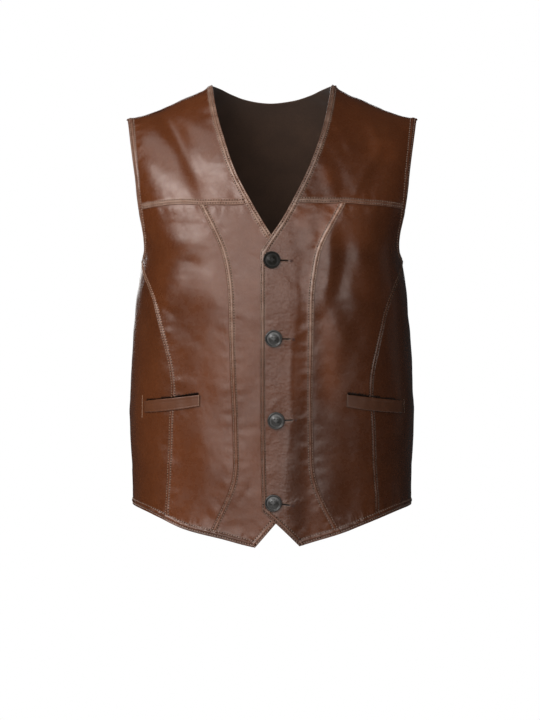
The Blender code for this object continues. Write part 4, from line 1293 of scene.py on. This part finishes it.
# ------------------------------------------------------------- stitches
class Stitches:
    """Many stitches in one mesh: slot 0 thread, slot 1 needle holes."""

    SIDES = 6
    # along the stitch, height over the leather, thickness; mm
    SHAPE = ((0.0, -0.50, 0.22), (0.10, -0.02, 0.34), (0.30, 0.22, 0.40),
             (0.70, 0.22, 0.40), (0.90, -0.02, 0.34), (1.0, -0.50, 0.22))

    def __init__(self, name, tone_and_shade=1.0):
        self.name, self.tone_and_shade = name, tone_and_shade
        self.verts, self.faces, self.slots = [], [], []
        self.count = 0

    def add(self, start, end, out, thick=1.0, lift=0.0):
        """start, end: n x 3, mm; out: the way out of the leather, n x 3."""
        if len(start) == 0:
            return
        way = end - start
        length = np.linalg.norm(way, axis=1, keepdims=True)
        way = way / length
        out = out - way * np.sum(out * way, 1, keepdims=True)
        out = out / np.linalg.norm(out, axis=1, keepdims=True)
        across = np.cross(way, out)
        rings = []
        for t, h, r in self.SHAPE:
            middle = start + (end - start) * t + out * (h * thick + lift)
            for k in range(self.SIDES):
                a = 2 * math.pi * k / self.SIDES
                rings.append(middle + thick * r * (math.cos(a) * across + math.sin(a) * out))
        block = np.stack(rings, 1)                       # n x (rings*sides) x 3
        per = block.shape[1]
        base = self.count + per * np.arange(len(start))
        quads = []
        for i in range(len(self.SHAPE) - 1):
            for k in range(self.SIDES):
                a, b = i * self.SIDES + k, i * self.SIDES + (k + 1) % self.SIDES
                quads.append((a, b, b + self.SIDES, a + self.SIDES))
        quads = np.array(quads)
        self.verts.append(block.reshape(-1, 3))
        self.faces += (base[:, None, None] + quads[None]).reshape(-1, 4).tolist()
        last = (len(self.SHAPE) - 1) * self.SIDES
        for cap in (list(range(self.SIDES))[::-1], [last + k for k in range(self.SIDES)]):
            self.faces += (base[:, None] + np.array(cap)[None]).tolist()
        self.slots += [0] * (len(start) * (len(quads) + 2))
        self.count += per * len(start)

    def holes(self, places, out, way, size=1.02, lift=0.12):
        """Needle holes: small discs sunk in the channel, near-black as painted shade inside each hole.
        """
        if len(places) == 0:
            return
        out = out / np.linalg.norm(out, axis=1, keepdims=True)
        way = way - out * np.sum(out * way, 1, keepdims=True)
        way = way / np.linalg.norm(way, axis=1, keepdims=True)
        across = np.cross(way, out)
        ring_ = []
        for k in range(8):
            a = 2 * math.pi * k / 8
            ring_.append(places + out * lift + size * (math.cos(a) * way
                                                        + 0.9 * math.sin(a) * across))
        block = np.stack(ring_, 1)
        base = self.count + 8 * np.arange(len(places))
        self.verts.append(block.reshape(-1, 3))
        self.faces += (base[:, None] + np.arange(8)[None]).tolist()
        self.slots += [1] * len(places)
        self.count += 8 * len(places)

    def pads(self, start, end, out, wide=1.55, high=0.34):
        """The leather drawn up between two needle holes, under the thread."""
        if len(start) == 0:
            return
        way = end - start
        half = 0.5 * np.linalg.norm(way, axis=1, keepdims=True)
        way = way / (2 * half)
        out = out - way * np.sum(out * way, 1, keepdims=True)
        out = out / np.linalg.norm(out, axis=1, keepdims=True)
        across = np.cross(way, out)
        middle = 0.5 * (start + end)
        block = [middle + high * out]
        for share, h in ((0.38, 0.80), (0.72, 0.38), (1.0, -0.25)):
            for k in range(10):
                a = 2 * math.pi * k / 10
                block.append(middle + out * (high * h)
                             + way * (half * share * 1.0 * math.cos(a))
                             + across * (wide * share * math.sin(a)))
        block = np.stack(block, 1)
        base = self.count + block.shape[1] * np.arange(len(start))
        tris = np.array([(0, 1 + k, 1 + (k + 1) % 10) for k in range(10)])
        quads = np.array([(1 + 10 * i + k, 11 + 10 * i + k, 11 + 10 * i + (k + 1) % 10,
                           1 + 10 * i + (k + 1) % 10) for i in range(2) for k in range(10)])
        self.verts.append(block.reshape(-1, 3))
        self.faces += (base[:, None, None] + tris[None]).reshape(-1, 3).tolist()
        self.faces += (base[:, None, None] + quads[None]).reshape(-1, 4).tolist()
        self.slots += [2] * (len(start) * 30)
        self.count += block.shape[1] * len(start)

    def finish(self):
        verts = np.concatenate(self.verts)
        mesh = bpy.data.meshes.new(self.name)
        mesh.from_pydata(to_metres(verts).tolist(), [], self.faces)
        mesh.polygons.foreach_set("material_index", np.asarray(self.slots, np.int32))
        mesh.shade_smooth()
        count = len(verts)
        # threads darker lower down, pads less light lower down and towards the wearer's left: painted
        # shade and painted highlight
        rub_and_light = fade_downwards(verts)
        add_values(mesh, "tone_and_shade", self.tone_and_shade * (0.72 + 0.33 * rub_and_light))
        add_values(mesh, "ridge", 0.80 * rub_and_light * fade_to_left(verts))
        for value, amount in (("near_edge", 9.0), ("crinkle", 0.15), ("groove_shade", 0.0)):
            add_values(mesh, value, np.full(count, amount))
        ob = bpy.data.objects.new(self.name, mesh)
        bpy.context.scene.collection.objects.link(ob)
        return ob


def offset_run(run, amount, hint):
    """The run moved sideways over the torso, to the side the hint points to."""
    out = run.copy()
    for _ in range(2):
        q = torso(out[:, 0], out[:, 1])
        way = np.gradient(q, axis=0)
        way /= np.linalg.norm(way, axis=1, keepdims=True)
        ta = (torso(out[:, 0] + 0.05, out[:, 1]) - torso(out[:, 0] - 0.05, out[:, 1])) / 0.1
        tr = (torso(out[:, 0], out[:, 1] + 0.2) - torso(out[:, 0], out[:, 1] - 0.2)) / 0.4
        n = np.cross(ta, tr)
        n /= np.linalg.norm(n, axis=1, keepdims=True)
        side = np.cross(n, way)
        wish = np.array([hint(a, r) for a, r in out])
        lead = (wish[:, :1] * ta / np.linalg.norm(ta, axis=1, keepdims=True)
                + wish[:, 1:] * tr / np.linalg.norm(tr, axis=1, keepdims=True))
        side *= np.where(np.sum(side * lead, 1, keepdims=True) < 0, -1.0, 1.0)
        step = side * amount / 2
        aa, ar, rr = np.sum(ta * ta, 1), np.sum(ta * tr, 1), np.sum(tr * tr, 1)
        sa, sr = np.sum(step * ta, 1), np.sum(step * tr, 1)
        det = aa * rr - ar * ar
        out = out + np.stack([(sa * rr - sr * ar) / det, (sr * aa - sa * ar) / det], -1)
    return out


def pieces_of(keep):
    """Start and end of each stretch of True."""
    keep = np.concatenate([[False], keep, [False]])
    change = np.flatnonzero(np.diff(keep.astype(int)))
    return list(zip(change[::2], change[1::2]))


def sew(stitches, key, kind, hint, owners, limits=((), ())):
    """Both rows along an edge. owners: (panel, share of the line's length at
    which it ends); limits: for each row, (line, least distance)."""
    ln = edges[key]
    for number, r in enumerate(KINDS[kind][:2]):
        run = offset_run(ln.run, r, hint)
        q = torso(run[:, 0], run[:, 1])
        d, s = ln.measure(q)
        keep = d > r - 0.15
        for other, least in limits[number]:
            keep &= edges[other].measure(q)[0] >= least
        for i, j in pieces_of(keep):
            part = run[i:j]
            if j - i < 4:
                continue
            pq = q[i:j]
            length = np.concatenate([[0], np.cumsum(np.linalg.norm(np.diff(pq, axis=0), axis=1))])
            count = int(length[-1] / PITCH)
            if count < 2:
                continue
            rng = np.random.default_rng(int(length[-1] * 10) + number)
            t = np.linspace(0, length[-1], count + 1)
            t[1:-1] += rng.uniform(-0.14, 0.14, count - 1)
            a, b = np.interp(t, length, part[:, 0]), np.interp(t, length, part[:, 1])
            share = np.interp(t, length, s[i:j]) / ln.s[-1]
            at, out = np.zeros((count + 1, 3)), np.zeros((count + 1, 3))
            start = -1.0
            for panel, end in owners:
                own = (share > start) & (share <= end + 1e-9)
                start = end
                if own.any():
                    at[own], out[own] = panel.place(a[own], b[own])
            mid_out = out[:-1] + out[1:]
            gap = (at[1:] - at[:-1]) * 0.22
            stitches.add(at[:-1] + gap, at[1:] - gap, mid_out, lift=0.22)
            stitches.pads(at[:-1] + 0.95 * gap, at[1:] - 0.95 * gap, mid_out)
            stitches.holes(at, out, np.gradient(at, axis=0))


def share_of(first, *rest):
    """Where along a chained line each of its runs ends, 0 to 1."""
    sizes = []
    for run in (first,) + rest:
        q = torso(run[:, 0], run[:, 1])
        sizes.append(np.linalg.norm(np.diff(q, axis=0), axis=1).sum())
    return np.cumsum(sizes) / np.sum(sizes)


made = []
for s, side_name in ((-1, "right"), (1, "left")):
    L = line[s]
    yoke_p, center = panels["front_yoke_" + side_name], panels["front_center_" + side_name]
    side_front, side_p = panels["front_side_" + side_name], panels["side_" + side_name]
    # the threads on the wearer's left are darker, the side seam's on the right lighter: painted shade
    # and painted light
    st = Stitches("stitching_" + side_name, 1.0 if s < 0 else 0.62)
    seam_st = Stitches("side_seam_stitching_" + side_name, 1.5 if s < 0 else 0.40)
    k = {name: (name, s) for name in ("neck", "lap", "cutaway", "hem", "armhole",
                                      "front_seam", "yoke", "panel_seam", "shoulder")}
    f = share_of(L.neck_yoke, L.neck_low)
    sew(st, k["neck"], "neck", lambda a, r, s=s: (s, -0.3),
        [(yoke_p, f[0]), (center, 1.0)],
        [[(k["lap"], 1.9), (k["shoulder"], 0.6)], [(k["lap"], 5.8), (k["shoulder"], 0.6)]])
    sew(st, k["lap"], "lap", lambda a, r, s=s: (s, 0.0), [(center, 1.0)],
        [[(k["neck"], 2.7), (k["cutaway"], 2.3)], [(k["neck"], 7.5), (k["cutaway"], 7.3)]])
    sew(st, k["cutaway"], "cutaway", lambda a, r, s=s: (s, 0.6), [(center, 1.0)],
        [[(k["lap"], 1.9), (k["hem"], 3.0)], [(k["lap"], 5.8), (k["hem"], 8.5)]])
    f = share_of(L.hem_in, L.hem_mid, L.hem_out)
    sew(st, k["hem"], "hem", lambda a, r: (0.0, 1.0),
        [(center, f[0]), (side_front, f[1]), (side_p, 1.0)],
        [[(k["cutaway"], 2.3)], [(k["cutaway"], 7.3)]])
    f = share_of(L.under[::-1], L.arm_side, L.arm_yoke)
    sew(st, k["armhole"], "armhole", lambda a, r, s=s: (-s, -0.4),
        [(side_p, f[0]), (side_front, f[1]), (yoke_p, 1.0)],
        [[(k["shoulder"], 0.6)], [(k["shoulder"], 0.6)]])
    ends = [(k["hem"], 8.7), (k["yoke"], 0.4)]
    sew(st, k["front_seam"], "front_seam_over", lambda a, r, s=s: (-s, 0.0),
        [(center, 1.0)], [ends, ends])
    ends = [(k["neck"], 7.7), (k["armhole"], 8.2)]
    sew(st, k["yoke"], "yoke_over", lambda a, r: (0.0, 1.0), [(yoke_p, 1.0)],
        [ends, ends])
    ends = [(k["hem"], 8.7), (k["armhole"], 8.2)]
    sew(seam_st, k["panel_seam"], "panel_seam_over", lambda a, r, s=s: (-s, 0.5),
        [(side_front, 1.0)], [ends, ends])

    # bar tacks: one on the welt's inner end, one on the panel past its outer end
    v = np.linspace(-0.02, 1.05, 8)
    angle, rise, p, outer, *_ = welt_heights(side_name, np.full(8, 0.010), v)
    n = torso_normal(angle, rise)
    at = p + n * outer[:, None] + n * 0.25
    seam_st.add(at[:-1], at[1:], n[:-1], thick=0.7, lift=-0.1)
    sign, _, x_out = WELTS[side_name][:3]
    spots = np.array([on_front(sign * (x_out + 3.9), z)
                      for z in np.linspace(*TACKS[side_name], 11)])
    at, n = side_p.place(spots[:, 0], spots[:, 1])
    seam_st.add(at[:-1], at[1:], n[:-1], thick=0.95, lift=0.15)
    made += [(st, side_name), (seam_st, "seam_" + side_name)]

st = Stitches("stitching_back")
back = panels["back"]
sew(st, ("hem", 0), "hem", lambda a, r: (0.0, 1.0), [(back, 1.0)])
sew(st, ("neck", 0), "neck",
    lambda a, r: ((-1.0 if a < 180 else 1.0) * min(1.0, abs(a - 180) / 12), -0.5),
    [(back, 1.0)], [[(("back_shoulder", 1), 0.6), (("back_shoulder", -1), 0.6)]] * 2)
sew(st, ("back_arm", 1), "armhole", lambda a, r: (1.0, -0.7), [(back, 1.0)],
    [[(("back_shoulder", 1), 0.6)]] * 2)
sew(st, ("back_arm", -1), "armhole", lambda a, r: (-1.0, -0.7), [(back, 1.0)],
    [[(("back_shoulder", -1), 0.6)]] * 2)
made.append((st, "back"))


# ------------------------------------------------------------- buttonholes
def on_left_front(z, x):
    """Frame on the left front: origin on its outer face, Z outwards."""
    a, r = on_front(x, z)
    p, n = torso(a, r), torso_normal(a, r)
    p = p + n * (float(lap_lift(p)) + float(folds(np.array([a]), np.array([r]), p[None])[0]))
    out = Vector(n)
    right = Vector((1, 0, 0)) - out * out.x
    right.normalize()
    m = Matrix((right, out.cross(right), out)).transposed().to_4x4()
    m.translation = Vector(to_metres(p))
    return m


def keyhole(reach, slope, grow=0.0):
    """Outline of a buttonhole: round at the shank, then a slit, mm."""
    r, h = SHANK_RADIUS + 0.4 + grow, SLOT_WIDTH / 2 + grow
    start = math.asin(h / r)
    pts = [(r * math.cos(t), r * math.sin(t))
           for t in np.linspace(start, 2 * math.pi - start, 25)]
    pts += [(reach - 3.0, -h), (reach - 1.2, -0.8 * h), (reach - 0.3, -0.35 * h),
            (reach, 0.0), (reach - 0.3, 0.35 * h), (reach - 1.2, 0.8 * h),
            (reach - 3.0, h)]
    c, s_ = math.cos(math.radians(slope)), math.sin(math.radians(slope))
    return [(c * x - s_ * y, s_ * x + c * y) for x, y in pts]


def cutter(name, outlines):
    """Prisms into the leather. outlines: (frame, points in mm, depth)."""
    verts, faces = [], []
    for place, pts, deep in outlines:
        base, count = len(verts), len(pts)
        for h in (-deep, 0.0075):
            verts += [tuple(place @ Vector((x / 1000, y / 1000, h))) for x, y in pts]
        faces += [tuple(base + k for k in range(count)),
                  tuple(base + count + k for k in range(count))]
        faces += [(base + k, base + (k + 1) % count, base + count + (k + 1) % count,
                   base + count + k) for k in range(count)]
    mesh = bpy.data.meshes.new(name)
    mesh.from_pydata(verts, [], faces)
    bm = bmesh.new()
    bm.from_mesh(mesh)
    bmesh.ops.recalc_face_normals(bm, faces=bm.faces)
    bm.to_mesh(mesh)
    bm.free()
    ob = bpy.data.objects.new(name, mesh)
    bpy.context.scene.collection.objects.link(ob)
    return ob


def carve(ob, tool):
    """Cut the tool's shape out of the piece, for good."""
    m = ob.modifiers.new("cut", "BOOLEAN")
    m.operation, m.object, m.solver = "DIFFERENCE", tool, "EXACT"
    bpy.context.view_layer.update()
    deps = bpy.context.evaluated_depsgraph_get()
    done = bpy.data.meshes.new_from_object(ob.evaluated_get(deps))
    ob.modifiers.clear()
    old, ob.data = ob.data, done
    done.name = old.name
    bpy.data.meshes.remove(old)
    done.set_sharp_from_angle(angle=math.radians(62))


places = [on_left_front(z, x) for z, x, _ in BUTTONS]
# the lips close behind the shank; the hole at the shank goes right through
SLIT_END = SLOT_REACH - 2.4
turned = np.linspace(0, 2 * math.pi, 25)[:-1]
shank_hole = [((SHANK_RADIUS + 0.4) * math.cos(t), (SHANK_RADIUS + 0.4) * math.sin(t))
              for t in turned]
# the buttonholes' cut walls take the near-black hole finish: painted shade inside the slits
panels["front_center_left"].ob.data.materials.append(needle)
for outlines in ([(m, keyhole(SLIT_END, slope, 0.40 if i == 0 else 0.10), 0.0012)
                  for i, (m, (_, _, slope)) in enumerate(zip(places, BUTTONS))],
                 [(m, shank_hole, 0.0075) for m in places]):
    slots_tool = cutter("buttonholes", outlines)
    for face in slots_tool.data.polygons:
        face.material_index = 2
    carve(panels["front_center_left"].ob, slots_tool)
    bpy.data.objects.remove(slots_tool, do_unlink=True)

hole_st, tack_st = Stitches("buttonhole_stitching"), Stitches("buttonhole_bar_tacks")
for m, (z, x, slope) in zip(places, BUTTONS):
    c, s_ = math.cos(math.radians(slope)), math.sin(math.radians(slope))
    centre = panels["front_center_left"]
    a0, r0 = on_front(x, z)

    def on_leather(px, py):
        """Points of the leather near the button, from its own frame, mm."""
        flat = [m @ Vector((u / 1000, v / 1000, 0)) for u, v in zip(px, py)]
        world = np.array([list(v) for v in flat]) * 1000 + ORIGIN
        ang = np.array([on_front(w[0], w[2]) for w in world])
        return centre.place(ang[:, 0], ang[:, 1])
    # purl stitches across both lips
    run_x = np.arange(11.9, SLIT_END + 0.3, 0.85)
    for lip in (-1, 1):
        inner_x, inner_y = run_x, np.full(len(run_x), lip * (SLOT_WIDTH / 2 + 0.45))
        outer_x, outer_y = run_x + 0.15, np.full(len(run_x), lip * (SLOT_WIDTH / 2 + 2.3))
        p0, n0 = on_leather(c * inner_x - s_ * inner_y, s_ * inner_x + c * inner_y)
        p1, n1 = on_leather(c * outer_x - s_ * outer_y, s_ * outer_x + c * outer_y)
        hole_st.add(p0, p1, n0, thick=0.80, lift=0.08)
    # a bar tack beyond the slit
    for step in range(5):
        ix = np.full(2, SLIT_END + 2.7 + 0.62 * step)
        iy = np.array([-1.9, 1.9]) * (1 - 0.07 * (step % 2))
        p0, n0 = on_leather(c * ix - s_ * iy, s_ * ix + c * iy)
        tack_st.add(p0[:1], p0[1:], n0[:1], thick=0.9, lift=0.15)
made.append((hole_st, "buttonholes"))
made.append((tack_st, "tacks"))


# ------------------------------------------------------------ pocket mouths
welts = {}
for side_name in WELTS:
    sign, x_in, x_out, top_in, top_out, low_in, low_out = WELTS[side_name]
    n = 15
    verts = []
    for x, z in zip(np.linspace(x_in + 2, x_out - 2, n), np.linspace(top_in, top_out, n)):
        for dz in (MOUTH_OVER, -MOUTH_UNDER):
            a, r = on_front(sign * x, z + dz)
            p_, out = torso(a, r), torso_normal(a, r)
            verts += [to_metres(p_ + 7 * out), to_metres(p_ - 9 * out)]
    faces = [(0, 1, 3, 2), (4 * n - 4, 4 * n - 2, 4 * n - 1, 4 * n - 3)]
    for k in range(n - 1):
        for a, b in ((0, 1), (1, 3), (3, 2), (2, 0)):
            faces.append((4 * k + a, 4 * k + b, 4 * k + b + 4, 4 * k + a + 4))
    mesh = bpy.data.meshes.new("mouth")
    mesh.from_pydata([tuple(v) for v in verts], [], faces)
    bm = bmesh.new()
    bm.from_mesh(mesh)
    bmesh.ops.recalc_face_normals(bm, faces=bm.faces)
    bm.to_mesh(mesh)
    bm.free()
    tool = bpy.data.objects.new("mouth", mesh)
    bpy.context.scene.collection.objects.link(tool)
    carve(panels["front_side_" + side_name].ob, tool)
    carve(panels["side_" + side_name].ob, tool)
    bpy.data.objects.remove(tool, do_unlink=True)
    welts[side_name] = welt(side_name)


# ----------------------------------------------------------------- buttons
# turned profile: radius, height over the under side
FACE = (
    (1.3, 0.0), (6.0, 0.0), (9.2, 0.05), (10.6, 0.45), (11.3, 1.1), (11.5, 1.9),
    (11.4, 2.6), (11.0, 3.08), (10.45, 3.34), (9.95, 3.26), (9.5, 2.80),
    (9.1, 2.22), (8.6, 1.95), (7.6, 2.05), (6.4, 2.30), (5.2, 2.68), (4.0, 3.08),
    (2.8, 3.33), (1.4, 3.40), (0.0, 3.40),
)


def soften(points, times=2):
    p = np.array(points, float)
    for _ in range(times):
        q = [p[0]]
        for a, b in zip(p, p[1:]):
            q += [0.75 * a + 0.25 * b, 0.25 * a + 0.75 * b]
        p = np.array(q + [p[-1]])
    return p


def button(number, place):
    segments = 72
    shank_low = -(LAP_LIFT - 0.4)
    profile = [(0.0, shank_low), (1.05, shank_low)]
    steps = 9
    for k in range(steps):                     # wound thread under the button
        h = shank_low + 0.15 + (BUTTON_CLEAR - shank_low - 0.2) * k / steps
        profile += [(1.25, h + 0.08), (1.05, h + 0.28)]
    profile += [(r, h + BUTTON_CLEAR) for r, h in soften(FACE)]
    verts, faces, rings = [], [], []
    for radius, height in profile:
        if radius < 1e-6:
            rings.append([len(verts)])
            verts.append((0, 0, height / 1000))
            continue
        rings.append(list(range(len(verts), len(verts) + segments)))
        for k in range(segments):
            t = 2 * math.pi * k / segments
            verts.append((radius * math.cos(t) / 1000, radius * math.sin(t) / 1000,
                          height / 1000))
    for a, b in zip(rings, rings[1:]):
        for k in range(segments):
            j = (k + 1) % segments
            if len(a) == 1:
                faces.append((a[0], b[k], b[j]))
            elif len(b) == 1:
                faces.append((a[k], b[0], a[j]))
            else:
                faces.append((a[k], b[k], b[j], a[j]))
    mesh = bpy.data.meshes.new("button_face_%d" % number)
    mesh.from_pydata(verts, [], faces)
    bm = bmesh.new()
    bm.from_mesh(mesh)
    bmesh.ops.recalc_face_normals(bm, faces=bm.faces)
    bm.to_mesh(mesh)
    bm.free()
    mesh.transform(place)
    mesh.shade_smooth()
    ob = bpy.data.objects.new("button_face_%d" % number, mesh)
    bpy.context.scene.collection.objects.link(ob)
    circles = []
    for sx in (-1, 1):
        for sy in (-1, 1):
            circles.append([(sx * BUTTON_HOLE_AT + 0.85 * BUTTON_HOLE_RADIUS * math.cos(t),
                             sy * BUTTON_HOLE_AT + 0.85 * BUTTON_HOLE_RADIUS * math.sin(t))
                            for t in np.linspace(0, 2 * math.pi, 25)[:-1]])
    up = place @ Matrix.Translation((0, 0, 0.0078 + 0.0012))
    tool = cutter("button_holes", [(up, pts, 0.0075) for pts in circles])
    # the top button gets the darker horn (painted shade); the holes' cut walls get the near-black hole
    # finish, painted shade inside them
    mesh.materials.append(dull_shaded_horn if number == 1 else horn)
    mesh.materials.append(needle)
    for face in tool.data.polygons:
        face.material_index = 1
    carve(ob, tool)
    bpy.data.objects.remove(tool, do_unlink=True)
    return ob


buttons = {}
for number, m in enumerate(places, 1):
    buttons["button_%d" % number] = button(number, m)
    # thread through the four holes, two strands a pair
    floor = BUTTON_CLEAR + 3.05
    pts0, pts1, outs = [], [], []
    for sy in (-1, 1):
        for shift in (-0.32, 0.0, 0.32):
            a = m @ Vector((-BUTTON_HOLE_AT / 1000 * 1.02, (sy * BUTTON_HOLE_AT + shift) / 1000,
                            (floor - 0.15) / 1000))
            b = m @ Vector((BUTTON_HOLE_AT / 1000 * 1.02, (sy * BUTTON_HOLE_AT + shift) / 1000,
                            (floor - 0.15) / 1000))
            pts0.append(np.array(a) * 1000 + ORIGIN)
            pts1.append(np.array(b) * 1000 + ORIGIN)
            outs.append(np.array(m.to_3x3() @ Vector((0, 0, 1))))
    st = Stitches("button_thread_%d" % number)
    st.add(np.array(pts0), np.array(pts1), np.array(outs), thick=0.45, lift=0.0)
    made.append((st, "button"))


# ------------------------------------------------- pieces on the root body, their CAD parts hidden, finishes for the stitching
for node, p in panels.items():
    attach(p.ob, "root")
    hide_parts(node)
for side_name, ob in welts.items():
    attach(ob, "root")
    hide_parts("pocket_welt_" + side_name)
for node, ob in buttons.items():
    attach(ob, "root")
    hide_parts(node)
for st, what in made:
    ob = st.finish()
    first = {"buttonholes": purl_thread, "button": dark_thread, "tacks": tack_thread,
             "seam_left": side_thread, "seam_right": side_thread}.get(what, thread)
    ob.data.materials.append(first)
    ob.data.materials.append(needle)
    ob.data.materials.append(nappa)
    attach(ob, "root")


# ------------------------------------------------------- floor, light, camera
def floor():
    bm = bmesh.new()
    bmesh.ops.create_circle(bm, cap_ends=True, segments=96, radius=2.4)
    mesh = bpy.data.meshes.new("floor")
    bm.to_mesh(mesh)
    bm.free()
    ob = bpy.data.objects.new("floor", mesh)
    ob.location = (0.0, 0.0, -1.46)
    bpy.context.scene.collection.objects.link(ob)
    m, tree, b = nodes_of("pale_floor")
    g = Graph(tree)
    g.link(g.mix(g.ranged(g.noise(3.0), 0.3, 0.7, 0.0, 1.0), (0.80, 0.80, 0.80),
                 (0.84, 0.84, 0.84)), b.inputs["Base Color"])
    b.inputs["Roughness"].default_value = 0.8
    mesh.materials.append(m)


def area_light(name, azimuth, elevation, distance, width, height, radiance, colour=(1, 1, 1),
               aim=(0.0, 0.0, -0.3)):
    """A soft box. Azimuth 0 is in front, + towards the wearer's left."""
    data = bpy.data.lights.new(name, "AREA")
    data.shape, data.size, data.size_y = "RECTANGLE", width, height
    data.energy = radiance * math.pi * width * height
    data.color = colour
    ob = bpy.data.objects.new(name, data)
    a, e = math.radians(azimuth), math.radians(elevation)
    way = Vector((math.sin(a) * math.cos(e), -math.cos(a) * math.cos(e), math.sin(e)))
    ob.location = Vector(aim) + way * distance
    ob.rotation_euler = way.to_track_quat("Z", "Y").to_euler()
    ob.visible_camera = False
    bpy.context.scene.collection.objects.link(ob)
    return ob


floor()
area_light("key_softbox", -37.0, 23.5, 4.2, 2.35, 1.60, 6.2, (1.0, 0.99, 0.98))
area_light("front_softbox", 1.0, 12.5, 4.2, 3.50, 1.55, 2.15, (1.0, 0.99, 0.98))
area_light("low_front", -8.0, -5.5, 4.2, 1.80, 1.25, 1.6, (1.0, 0.99, 0.98))
area_light("upper_front", -13.0, 36.0, 4.2, 2.40, 1.10, 1.8, (1.0, 0.99, 0.98))
area_light("top_left", -42.0, 53.0, 4.2, 2.30, 1.50, 1.6, (1.0, 0.985, 0.97))
area_light("back_fill", -172.0, 14.0, 4.4, 3.2, 1.8, 2.0)
area_light("far_side_fill", 95.0, 10.0, 4.4, 1.6, 2.4, 0.08)

world = bpy.data.worlds.new("studio")
bpy.context.scene.world = world
world.use_nodes = True
wt = world.node_tree
background = wt.nodes["Background"]
path = wt.nodes.new("ShaderNodeLightPath")
level = wt.nodes.new("ShaderNodeMapRange")
level.inputs["To Min"].default_value = 0.04
level.inputs["To Max"].default_value = 1.0
wt.links.new(path.outputs["Is Camera Ray"], level.inputs["Value"])
wt.links.new(level.outputs["Result"], background.inputs["Strength"])
background.inputs["Color"].default_value = (1.0, 1.0, 1.0, 1.0)

cam_data = bpy.data.cameras.new("camera")
cam_data.sensor_width = 36.0
cam_data.lens = 115.94
cam_data.clip_end = 50.0
cam = bpy.data.objects.new("camera", cam_data)
cam.location = (-0.00276, -3.2 - ORIGIN[1] / 1000, (-350 - ORIGIN[2]) / 1000)
cam.rotation_euler = (math.radians(90), 0.0, 0.0)
bpy.context.scene.collection.objects.link(cam)
bpy.context.scene.camera = cam
bpy.context.scene.view_settings.view_transform = "Standard"
